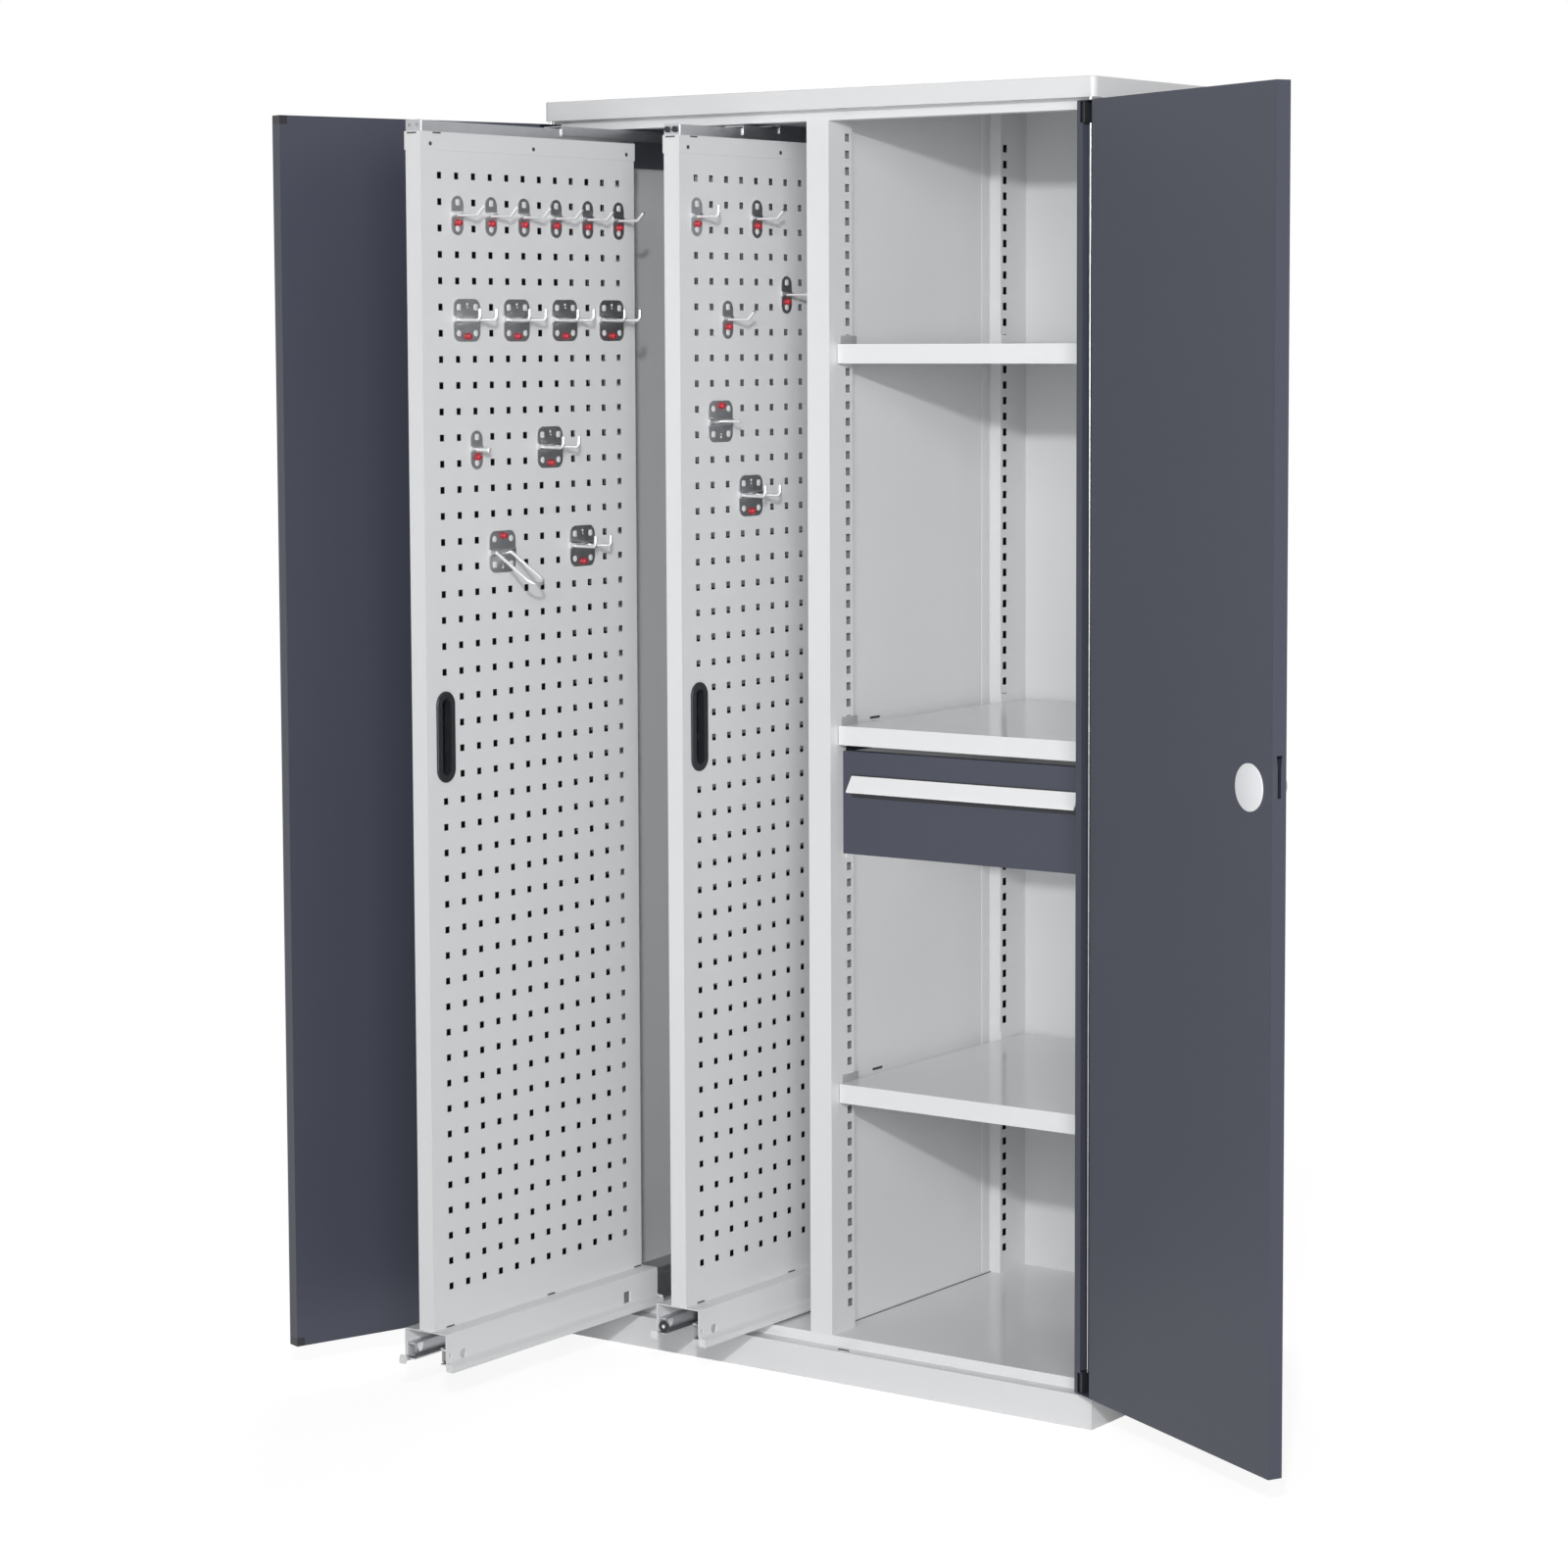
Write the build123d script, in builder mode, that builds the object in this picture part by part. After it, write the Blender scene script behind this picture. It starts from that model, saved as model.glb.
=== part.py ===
from build123d import *
import os
from math import cos, radians, sin

os.makedirs("parts", exist_ok=True)

# Two-door steel cabinet with two vertical pull-out tool panels left of its
# divider, and shelves and one drawer right of it. Millimetres, +Z up, doors
# towards -Y. The origin is the middle of the cabinet's footprint on the floor.

# Cabinet body
width = 1000
depth = 580
height = 1950
sheet = 1.5
plinth_height = 49
recess = 25
sill_height = 16
roof_height = 29.5
header_height = 15.5
header_depth = 30
flange = 30
roof_corner_radius = 9
roof_edge_radius = 1.4

# Divider, uprights and their clip slots
divider_from_left = 504
post_width = 40
front_post_depth = 62
rear_post_depth = 76.5
corner_post_width = 24
slot_width = 12
slot_height = 12
slot_pitch = 25
first_slot = 41
slot_from_post_front = 49

# Shelves, by the height of their top faces above the ground
shelf_levels = {"upper": 1573, "middle": 998, "lower": 450}
shelf_sheet = 1.2
shelf_fold = 29
shelf_setback = 45
shelf_back_gap = 8.5
shelf_side_gap = 1.5
clip_sheet = 1.2
clip_width = 24
clip_rise = 13
clip_foot = 13
clip_tab_reach = 4
clip_tab_play = 1

# Doors and their hinge rods
door_sheet = 1.2
door_thickness = 22
door_reveal = 1
door_side_gap = 2
door_middle_gap = 4
door_end_gap = 5.25
left_door_angle = 108.6
right_door_angle = 152.8
hinge_inset = 8
hinge_setback = 4.5
hinge_rod_diameter = 6
hinge_play = 0.1
rod_notch = 7
hinge_lip = 15
hinge_lip_at_bearing = 7
hinge_channel = 40
bearing_width = 15
bearing_height = 30
bearing_drop = 3
corner_cap = 13

# Lock of the right door
lock_level = 983
lock_from_edge = 54
knob_diameter = 38
knob_length = 27
spindle_diameter = 12
spindle_play = 0.1
cover_diameter = 65
cover_thickness = 2
cam_diameter = 30
cam_thickness = 3
cam_depth = 6
lock_rod_diameter = 10
lock_rod_play = 0.3
rod_from_spindle = 18
tongue_from_spindle = 7
tongue_width = 9
tongue_thickness = 3
keeper_width = 19
keeper_depth = 13
catch_slot_level = 1001
catch_slot_height = 57
catch_slot_width = 5.5
catch_slot_mouth = 9
catch_slot_taper = 18

# Tool panels
panel_from_left = 148
panel_spacing = 218.6
panel_length = 500
panel_thickness = 28
panel_sheet = 1.2
panel_setback = 43.5
left_pull = 525
right_pull = 198
hole_side = 10
hole_pitch = 38
least_side_margin = 36
least_end_margin = 50
stile_depth = 20
cap_skirt = 26.5
grip_width = 40
grip_height = 134
grip_band = 10.5
grip_rim = 3
grip_collar = 9
grip_collar_wall = 1.5

# Carriages under the panels
carriage_rise = 59
carriage_width = 80
carriage_sheet = 1.5
carriage_wall = 44
carriage_lead = 3
carriage_length = 510
carriage_foot = 12
carriage_lip = 12
lug_hole_diameter = 6
lug_hole_setback = 9
lug_hole_drop = 33
lock_hole_diameter = 14
lock_hole_setback = 38
lock_hole_drop = 35
window_length = 16
window_height = 18
window_setback = 432
window_drop = 32

# Nested channel slides: beside a beam under each panel, and at the drawer
beam_width = 39
beam_height = 50
beam_sheet = 2
beam_setback = 30
slide_channel = 11.5
slide_middle_offset = 2.5
slide_middle_width = 13
slide_inner_offset = 5.5
slide_inner_width = 13.5
slide_height = 35
slide_web = 2
slide_play = 0.4
slide_level = 24
slide_setback = 45
slide_length = 500

# Slides above the panels and the tray that carries them under the roof
carrier_sheet = 1.5
carrier_side = 50
top_slide_rise = 23.5
top_slide_width = 38
top_slide_sheet = 1.5
top_slide_play = 0.4
top_fixed_depth = 12
top_middle_depth = 14
top_middle_drop = 4
top_inner_depth = 15.5
top_fixed_setback = 94
top_fixed_length = 460
top_middle_setback = 101.5
top_middle_length = 450
top_inner_inset = 2.5
end_bracket_width = 28
end_bracket_height = 16.5
end_bracket_hole = 6
end_bracket_spacing = 14

# Drawer under the middle shelf
housing_sheet = 1.5
housing_drop = 173
housing_setback = 62
housing_length = 490
housing_hanger_setback = 96
housing_hanger_length = 390
housing_clip_gap = 3
drawer_front_width = 432
drawer_front_height = 156
drawer_front_gap = 8.5
drawer_front_depth = 18
drawer_front_sheet = 1.2
drawer_sheet = 1
drawer_floor_rise = 4
drawer_side_height = 129
drawer_length = 497
drawer_slide_level = 47
drawer_slide_setback = 66
drawer_slide_length = 470
handle_drop = 38
handle_height = 23
handle_reach = 16
handle_end = 16
handle_sheet = 2

# Tool holders
plate_sheet = 2
plate_width = 26
plate_height = 57
plate_double_width = 59
plate_double_height = 62
plate_double_radius = 13
plate_dimple = 8
plate_dimple_depth = 1.2
plate_tab = 8
plate_tab_reach = 4
wire_diameter = 5
wire_bend = 6
hook_arm = 37
hook_rise = 12
tip_arm = 40
tip_rise = 16
thick_pin_diameter = 8
thick_pin_length = 25
long_arm = 88
ring_reach = 69
ring_drop = 46
ring_width = 34
ring_corner = 14
clip_tag_width = 14
clip_tag_height = 10
clip_tag_thickness = 5
clip_tag_radius = 2
clip_tag_drop = 10
clip_tag_inset = 7

# Reference faces of the body
left = -width / 2
right = width / 2
front = -depth / 2
back = depth / 2
inner_front = front + recess
inner_back = back - sheet
floor_z = plinth_height + sill_height
roof_z = height - roof_height
header_z = roof_z - header_height
roof_under = height - sheet


def slab(x, y, z, mode=Mode.ADD):
    """A block between two limits along each axis, added to or cut from the open part."""
    with Locations(((x[0] + x[1]) / 2, (y[0] + y[1]) / 2, (z[0] + z[1]) / 2)):
        Box(x[1] - x[0], y[1] - y[0], z[1] - z[0], mode=mode)


def finish(builder, name):
    """Label a finished piece and write it under its own name."""
    builder.part.label = name
    export_step(builder.part, f"parts/{name}.step")


# Plinth: a folded ring whose front ledge carries the hinge rods and takes the
# lower lock rod
lock_x = right - door_side_gap - ((width - door_middle_gap) / 2 - door_side_gap - lock_from_edge)
lock_y = front + door_reveal + door_thickness / 2
with BuildPart() as plinth:
    slab((left, right), (front, back), (0, plinth_height))
    slab(
        (left + sheet, right - sheet),
        (front + sheet, back - sheet),
        (sheet, plinth_height - sheet),
        Mode.SUBTRACT,
    )
    slab(
        (left + flange, right - flange),
        (front + flange, back - flange),
        (0, plinth_height),
        Mode.SUBTRACT,
    )
    with Locations((lock_x, lock_y, plinth_height)):
        Box(keeper_width, keeper_depth, 3 * sheet, mode=Mode.SUBTRACT)
finish(plinth, "plinth")

# Roof: a shallow box with softly rounded front corners, open below behind the
# lip that the doors close under
with BuildPart() as roof:
    with BuildSketch(Plane.XY.offset(roof_z)) as roof_outline:
        Rectangle(width, depth)
        fillet(roof_outline.vertices().group_by(Axis.Y)[0], roof_corner_radius)
    extrude(amount=roof_height)
    fillet(roof.faces().sort_by(Axis.Z)[-1].edges(), roof_edge_radius)
    offset(amount=-sheet, openings=roof.faces().sort_by(Axis.Z)[0])
    with BuildSketch(Plane.XY.offset(roof_z)):
        add(roof_outline.sketch)
        with Locations((0, flange / 2)):
            Rectangle(width - 2 * sheet, depth - flange, mode=Mode.SUBTRACT)
    extrude(amount=sheet)
    with Locations((lock_x, lock_y, roof_z)):
        Box(keeper_width, keeper_depth, 3 * sheet, mode=Mode.SUBTRACT)
finish(roof, "roof")

# Side panels and back panel
with BuildPart() as side_panel_left:
    slab((left, left + sheet), (inner_front, back), (plinth_height, roof_z))
finish(side_panel_left, "side_panel_left")
with BuildPart() as side_panel_right:
    slab((right - sheet, right), (inner_front, back), (plinth_height, roof_z))
finish(side_panel_right, "side_panel_right")
with BuildPart() as back_panel:
    slab((left + sheet, right - sheet), (inner_back, back), (plinth_height, roof_z))
finish(back_panel, "back_panel")

# Floor folded down to the ledge: its front fold is the sill behind the doors
with BuildPart() as floor_panel:
    slab((left + sheet, right - sheet), (inner_front, inner_back), (plinth_height, floor_z))
    slab(
        (left + 2 * sheet, right - 2 * sheet),
        (inner_front + sheet, inner_back - sheet),
        (plinth_height, floor_z - sheet),
        Mode.SUBTRACT,
    )
finish(floor_panel, "floor_panel")

# Header rail: an angle between the roof's lip and the front uprights
with BuildPart() as header_rail:
    slab(
        (left + sheet, right - sheet),
        (inner_front, inner_front + header_depth),
        (header_z, roof_z),
    )
    slab(
        (left + sheet, right - sheet),
        (inner_front + sheet, inner_front + header_depth),
        (header_z + sheet, roof_z),
        Mode.SUBTRACT,
    )
finish(header_rail, "header_rail")

# Uprights: hollow posts, slotted where they face the shelves
divider_x = left + divider_from_left
post_left = divider_x - post_width / 2
post_right = divider_x + post_width / 2
corner_left = left + sheet + corner_post_width
corner_right = right - sheet - corner_post_width
front_post_y = (inner_front, inner_front + front_post_depth)
rear_post_y = (inner_back - rear_post_depth, inner_back)
front_slot_y = front_post_y[0] + slot_from_post_front
rear_slot_y = rear_post_y[0] + front_post_depth - slot_from_post_front
slot_count = int((header_z - floor_z - first_slot - slot_pitch / 2) / slot_pitch) + 1


def tube(x, y, top):
    """A hollow upright that stands on the floor."""
    inside_x = (x[0] + sheet, x[1] - sheet)
    inside_y = (y[0] + sheet, y[1] - sheet)
    slab(x, y, (floor_z, top))
    slab(inside_x, inside_y, (floor_z, top), Mode.SUBTRACT)


def clip_slots(x, y):
    """The column of clip slots through the wall of an upright."""
    with Locations(*[(x, y, floor_z + first_slot + k * slot_pitch) for k in range(slot_count)]):
        Box(3 * sheet, slot_width, slot_height, mode=Mode.SUBTRACT)


with BuildPart() as divider_post_front:
    tube((post_left, post_right), front_post_y, header_z)
    clip_slots(post_right, front_slot_y)
finish(divider_post_front, "divider_post_front")
with BuildPart() as divider_post_rear:
    tube((post_left, post_right), rear_post_y, roof_under)
    clip_slots(post_right, rear_slot_y)
finish(divider_post_rear, "divider_post_rear")
with BuildPart() as divider_panel:
    slab(
        (divider_x - sheet / 2, divider_x + sheet / 2),
        (front_post_y[1], rear_post_y[0]),
        (floor_z, roof_under),
    )
finish(divider_panel, "divider_panel")
with BuildPart() as corner_posts_left:
    tube((left + sheet, corner_left), front_post_y, header_z)
    tube((left + sheet, corner_left), rear_post_y, roof_under)
    clip_slots(corner_left, front_slot_y)
    clip_slots(corner_left, rear_slot_y)
finish(corner_posts_left, "corner_posts_left")
with BuildPart() as corner_posts_right:
    tube((corner_right, right - sheet), front_post_y, header_z)
    tube((corner_right, right - sheet), rear_post_y, roof_under)
    clip_slots(corner_right, front_slot_y)
    clip_slots(corner_right, rear_slot_y)
finish(corner_posts_right, "corner_posts_right")

# Shelves: folded pans on four sheet clips each
shelf_left = post_right + shelf_side_gap
shelf_right = corner_right - shelf_side_gap
shelf_y = (front + shelf_setback, inner_back - shelf_back_gap)
for level_name, level in shelf_levels.items():
    with BuildPart() as shelf:
        slab((shelf_left, shelf_right), shelf_y, (level - shelf_fold, level))
        slab(
            (shelf_left + shelf_sheet, shelf_right - shelf_sheet),
            (shelf_y[0] + shelf_sheet, shelf_y[1] - shelf_sheet),
            (level - shelf_fold, level - shelf_sheet),
            Mode.SUBTRACT,
        )
    finish(shelf, f"shelf_{level_name}")

with BuildPart() as shelf_clips:
    for level in shelf_levels.values():
        shelf_under = level - shelf_fold
        slot_number = round((level - shelf_fold / 2 - floor_z - first_slot) / slot_pitch)
        tab_z = floor_z + first_slot + slot_number * slot_pitch
        tab_height = slot_height - 2 * clip_tab_play
        tab_width = slot_width - 2 * clip_tab_play
        for face, side in ((post_right, 1), (corner_right, -1)):
            for slot_y in (front_slot_y, rear_slot_y):
                clip_y = (slot_y - clip_width / 2, slot_y + clip_width / 2)
                tab_y = (slot_y - tab_width / 2, slot_y + tab_width / 2)
                slab(
                    sorted((face, face + side * clip_sheet)),
                    clip_y,
                    (shelf_under - clip_sheet, level + clip_rise),
                )
                slab(
                    sorted((face, face + side * clip_foot)),
                    clip_y,
                    (shelf_under - clip_sheet, shelf_under),
                )
                slab(
                    sorted((face - side * clip_tab_reach, face)),
                    tab_y,
                    (tab_z - tab_height / 2, tab_z + tab_height / 2),
                )
finish(shelf_clips, "shelf_clips")

# Hinge rods: one from the ledge to the roof on each side, on the door axes
hinge_y = front + door_reveal + hinge_setback
left_hinge_x = left + door_side_gap + hinge_inset
right_hinge_x = right - door_side_gap - hinge_inset
with BuildPart() as hinge_rods:
    with BuildSketch(Plane.XY.offset(plinth_height)):
        with Locations((left_hinge_x, hinge_y), (right_hinge_x, hinge_y)):
            Circle(hinge_rod_diameter / 2)
    extrude(amount=roof_z - plinth_height)
finish(hinge_rods, "hinge_rods")

# Doors: folded tray shells with an inner pan, a channel along the hinge side,
# plastic bearing blocks on the rods
door_width = (width - door_middle_gap) / 2 - door_side_gap
door_bottom = plinth_height + door_end_gap
door_top = roof_z - door_end_gap
door_inner_face = door_thickness - door_sheet
bearing_bottom = (door_bottom + door_sheet, door_bottom + door_sheet + bearing_height)
bearing_top = (door_top - door_sheet - bearing_height, door_top - door_sheet)
left_door_plane = Plane(
    origin=(left_hinge_x, hinge_y, 0),
    x_dir=(cos(radians(left_door_angle)), -sin(radians(left_door_angle)), 0),
    z_dir=(0, 0, 1),
)
right_door_plane = Plane(
    origin=(right_hinge_x, hinge_y, 0),
    x_dir=(-cos(radians(right_door_angle)), -sin(radians(right_door_angle)), 0),
    z_dir=(0, 0, 1),
)


def leaf(side, e, t, z, mode=Mode.ADD):
    """A block of a door: e from its hinge edge, t behind its outer face, z from the ground."""
    along = (e[0] - hinge_inset, e[1] - hinge_inset)
    through = sorted((side * (t[0] - hinge_setback), side * (t[1] - hinge_setback)))
    slab(along, through, z, mode)


def upright_rod(side, e, t, z, diameter, mode=Mode.ADD):
    """A round rod or bore of a door, along Z."""
    with Locations((e - hinge_inset, side * (t - hinge_setback), (z[0] + z[1]) / 2)):
        Cylinder(diameter / 2, z[1] - z[0], mode=mode)


def cross_rod(side, e, t, z, diameter, mode=Mode.ADD):
    """A round boss or bore of a door, square to its faces."""
    with Locations((e - hinge_inset, side * ((t[0] + t[1]) / 2 - hinge_setback), z)):
        Cylinder(diameter / 2, t[1] - t[0], rotation=(90, 0, 0), mode=mode)


def door_tray(side):
    """The outer face of a door with its four folded edges and the lip at the hinge."""
    inside_z = (door_bottom + door_sheet, door_top - door_sheet)
    inside_t = (door_sheet, door_inner_face)
    free_side = door_width - door_sheet
    cut_back = (hinge_lip_at_bearing, hinge_lip)
    notch_e = (hinge_inset - rod_notch / 2, hinge_inset + rod_notch / 2)
    notch_t = (door_sheet, hinge_setback + rod_notch / 2)
    leaf(side, (0, door_width), (0, door_thickness), (door_bottom, door_top))
    leaf(side, (door_sheet, free_side), inside_t, inside_z, Mode.SUBTRACT)
    leaf(side, (hinge_lip, free_side), (door_sheet, door_thickness), inside_z, Mode.SUBTRACT)
    for bearing_z in (bearing_bottom, bearing_top):
        leaf(side, cut_back, (door_inner_face, door_thickness), bearing_z, Mode.SUBTRACT)
    for end_z in ((door_bottom, inside_z[0]), (inside_z[1], door_top)):
        leaf(side, notch_e, notch_t, end_z, Mode.SUBTRACT)


def door_pan(side):
    """The inner face of a door, folded in beside the hinge channel."""
    inside_z = (door_bottom + door_sheet, door_top - door_sheet)
    leaf(side, (hinge_channel, door_width - door_sheet), (door_inner_face, door_thickness), inside_z)
    leaf(side, (hinge_channel, hinge_channel + door_sheet), (door_sheet, door_inner_face), inside_z)


def door_bearings(side):
    """Blocks at both ends of a door, hollowed half round where they turn on the rod."""
    bore = hinge_rod_diameter + 2 * hinge_play
    for bearing_z in (bearing_bottom, bearing_top):
        leaf(
            side,
            (door_sheet, door_sheet + bearing_width),
            (hinge_setback, door_thickness - bearing_drop),
            bearing_z,
        )
        upright_rod(side, hinge_inset, hinge_setback, bearing_z, bore, Mode.SUBTRACT)


def free_corners(mode=Mode.ADD):
    """The two corners at the free edge of the left door."""
    for corner_z in ((door_bottom, door_bottom + corner_cap), (door_top - corner_cap, door_top)):
        leaf(1, (door_width - corner_cap, door_width), (0, door_thickness), corner_z, mode)


with BuildPart(left_door_plane) as left_door_skin:
    door_tray(1)
    free_corners(Mode.SUBTRACT)
finish(left_door_skin, "left_door_skin")
with BuildPart(left_door_plane) as left_door_inner:
    door_pan(1)
    free_corners(Mode.SUBTRACT)
finish(left_door_inner, "left_door_inner")
with BuildPart(left_door_plane) as left_door_caps:
    free_corners()
finish(left_door_caps, "left_door_caps")
with BuildPart(left_door_plane) as left_door_bearings:
    door_bearings(1)
finish(left_door_bearings, "left_door_bearings")

# Right door: the same tray and pan, holed for the lock and its rods, with a
# tapered catch slot through its free edge
lock_e = door_width - lock_from_edge
lock_rod_t = door_thickness / 2
spindle_bore = spindle_diameter + 2 * spindle_play
lock_rod_bore = lock_rod_diameter + 2 * lock_rod_play
catch_top = catch_slot_level + catch_slot_height / 2
catch_bottom = catch_top - catch_slot_height
catch_plane = Plane(
    origin=right_door_plane.from_local_coords((door_width - hinge_inset, hinge_setback - lock_rod_t, 0)),
    x_dir=right_door_plane.y_dir,
    z_dir=right_door_plane.x_dir,
)
with BuildPart(right_door_plane) as right_door_skin:
    door_tray(-1)
    spindle_t = (-door_sheet, 2 * door_sheet)
    cross_rod(-1, lock_e, spindle_t, lock_level, spindle_bore, Mode.SUBTRACT)
    for end in (door_bottom, door_top):
        end_z = (end - 2 * door_sheet, end + 2 * door_sheet)
        upright_rod(-1, lock_e, lock_rod_t, end_z, lock_rod_bore, Mode.SUBTRACT)
    with BuildSketch(catch_plane):
        with BuildLine():
            Polyline(
                (-catch_slot_width / 2, catch_bottom),
                (catch_slot_width / 2, catch_bottom),
                (catch_slot_width / 2, catch_top - catch_slot_taper),
                (catch_slot_mouth / 2, catch_top),
                (-catch_slot_mouth / 2, catch_top),
                (-catch_slot_width / 2, catch_top - catch_slot_taper),
                close=True,
            )
        make_face()
    extrude(amount=2 * door_sheet, both=True, mode=Mode.SUBTRACT)
finish(right_door_skin, "right_door_skin")
with BuildPart(right_door_plane) as right_door_inner:
    door_pan(-1)
finish(right_door_inner, "right_door_inner")
with BuildPart(right_door_plane) as right_door_bearings:
    door_bearings(-1)
finish(right_door_bearings, "right_door_bearings")
with BuildPart(right_door_plane) as lock_cover_disc:
    cover_t = (door_thickness, door_thickness + cover_thickness)
    cross_rod(-1, lock_e, cover_t, lock_level, cover_diameter)
    chamfer(lock_cover_disc.edges().filter_by(GeomType.CIRCLE), cover_thickness / 4)
finish(lock_cover_disc, "lock_cover_disc")

# Lock works: the knob and its spindle turn a cam in the door, which moves one
# rod up and one down through the door's ends
cam_t = (cam_depth, cam_depth + cam_thickness)
tongue_t = (cam_t[1] + lock_rod_play, cam_t[1] + lock_rod_play + tongue_thickness)
with BuildPart(right_door_plane) as lock_knob:
    cross_rod(-1, lock_e, (-knob_length, -lock_rod_play), lock_level, knob_diameter)
    chamfer(lock_knob.edges().filter_by(GeomType.CIRCLE), knob_diameter / 20)
    cross_rod(-1, lock_e, (-lock_rod_play, cam_t[1]), lock_level, spindle_diameter)
finish(lock_knob, "lock_knob")
with BuildPart(right_door_plane) as lock_cam:
    cross_rod(-1, lock_e, cam_t, lock_level, cam_diameter)
    cross_rod(-1, lock_e, cam_t, lock_level, spindle_diameter, Mode.SUBTRACT)
finish(lock_cam, "lock_cam")
for rod_name, up, rod_end in (
    ("lock_rod_upper", 1, door_top - lock_rod_play),
    ("lock_rod_lower", -1, door_bottom + lock_rod_play),
):
    with BuildPart(right_door_plane) as lock_rod:
        rod_z = sorted((lock_level + up * rod_from_spindle, rod_end))
        tongue_z = sorted((lock_level + up * tongue_from_spindle, lock_level + up * rod_from_spindle))
        upright_rod(-1, lock_e, lock_rod_t, rod_z, lock_rod_diameter)
        leaf(-1, (lock_e - tongue_width / 2, lock_e + tongue_width / 2), tongue_t, tongue_z)
    finish(lock_rod, rod_name)

# Perforated skins of the tool panels, drawn flat around their middle; the one
# with the grip is left plain there and opened for the grip ring
carriage_top = floor_z + carriage_rise
cap_top = header_z - top_slide_rise
panel_top = cap_top - panel_sheet
panel_height = panel_top - carriage_top
panel_mid_z = (carriage_top + panel_top) / 2
hole_columns = int((panel_length - 2 * least_side_margin) / hole_pitch) + 1
hole_rows = int((panel_height - 2 * least_end_margin) / hole_pitch) + 1
first_column = (panel_length - (hole_columns - 1) * hole_pitch) / 2
grip_from_mid = first_column - panel_length / 2
grip_opening = (grip_height - 2 * grip_band, grip_width - 2 * grip_band)
collar_opening = (grip_opening[0] + 2 * grip_collar_wall, grip_opening[1] + 2 * grip_collar_wall)
hole_places = [
    ((column - (hole_columns - 1) / 2) * hole_pitch, (row - (hole_rows - 1) / 2) * hole_pitch)
    for column in range(hole_columns)
    for row in range(hole_rows)
]
holes_beside_grip = [
    (along, up)
    for along, up in hole_places
    if abs(along - grip_from_mid) > (grip_width + hole_side) / 2
    or abs(up) > (grip_height + hole_side) / 2
]
with BuildSketch() as plain_outline:
    Rectangle(panel_length - 2 * panel_sheet, panel_height)
    with Locations(*hole_places):
        Rectangle(hole_side, hole_side, mode=Mode.SUBTRACT)
with BuildSketch() as grip_outline:
    Rectangle(panel_length - 2 * panel_sheet, panel_height)
    with Locations(*holes_beside_grip):
        Rectangle(hole_side, hole_side, mode=Mode.SUBTRACT)
    with Locations((grip_from_mid, 0)):
        SlotOverall(*collar_opening, rotation=90, mode=Mode.SUBTRACT)
with BuildPart() as plain_skin:
    with BuildSketch(Plane.YZ):
        add(plain_outline.sketch, clean=False)
    extrude(amount=panel_sheet, clean=False)
with BuildPart() as grip_skin:
    with BuildSketch(Plane.YZ):
        add(grip_outline.sketch, clean=False)
    extrude(amount=panel_sheet, clean=False)

# Patterns of the tool holders, drawn on the skin around the middle of their
# plates: single plates over two holes of a column, double ones over two columns
half_pitch = hole_pitch / 2
tab_reach = (-plate_tab_reach, 0)


def plate_tabs(columns):
    """The lugs behind a plate, in the holes above and below its middle."""
    for column in columns:
        for row in (-half_pitch, half_pitch):
            slab(
                tab_reach,
                (column - plate_tab / 2, column + plate_tab / 2),
                (row - plate_tab / 2, row + plate_tab / 2),
            )


with BuildPart() as single_plate:
    with BuildSketch(Plane.YZ):
        SlotOverall(plate_height, plate_width, rotation=90)
    extrude(amount=plate_sheet)
    with BuildSketch(Plane.YZ.offset(plate_sheet)):
        with Locations((0, -half_pitch), (0, half_pitch)):
            Circle(plate_dimple / 2)
    extrude(amount=-plate_dimple_depth, mode=Mode.SUBTRACT)
    plate_tabs((0,))
with BuildPart() as double_plate:
    with BuildSketch(Plane.YZ):
        RectangleRounded(plate_double_width, plate_double_height, plate_double_radius)
    extrude(amount=plate_sheet)
    with BuildSketch(Plane.YZ.offset(plate_sheet)):
        with Locations((-half_pitch, -half_pitch), (half_pitch, -half_pitch)):
            Circle(plate_dimple / 2)
        with Locations((0, half_pitch)):
            Circle(plate_dimple / 4)
        with Locations((-half_pitch, half_pitch), (half_pitch, half_pitch)):
            Rectangle(plate_dimple, plate_dimple)
    extrude(amount=-plate_dimple_depth, mode=Mode.SUBTRACT)
    plate_tabs((-half_pitch, half_pitch))

with BuildPart() as angled_hook:
    add(single_plate.part)
    with BuildLine():
        FilletPolyline(
            (plate_sheet, 0, 0),
            (plate_sheet + hook_arm, 0, 0),
            (plate_sheet + hook_arm + hook_rise, 0, hook_rise),
            radius=wire_bend,
        )
    with BuildSketch(Plane.YZ.offset(plate_sheet)):
        Circle(wire_diameter / 2)
    sweep()
with BuildPart() as tip_hook:
    add(single_plate.part)
    with BuildLine():
        FilletPolyline(
            (plate_sheet, 0, 0),
            (plate_sheet + tip_arm, 0, 0),
            (plate_sheet + tip_arm, 0, tip_rise),
            radius=wire_bend,
        )
    with BuildSketch(Plane.YZ.offset(plate_sheet)):
        Circle(wire_diameter / 2)
    sweep()
with BuildPart() as double_hook:
    add(double_plate.part)
    for column in (-half_pitch, half_pitch):
        with BuildLine():
            FilletPolyline(
                (plate_sheet, column, 0),
                (plate_sheet + tip_arm, column, 0),
                (plate_sheet + tip_arm, column, tip_rise),
                radius=wire_bend,
            )
        with BuildSketch(Plane.YZ.offset(plate_sheet)):
            with Locations((column, 0)):
                Circle(wire_diameter / 2)
        sweep()
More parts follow.
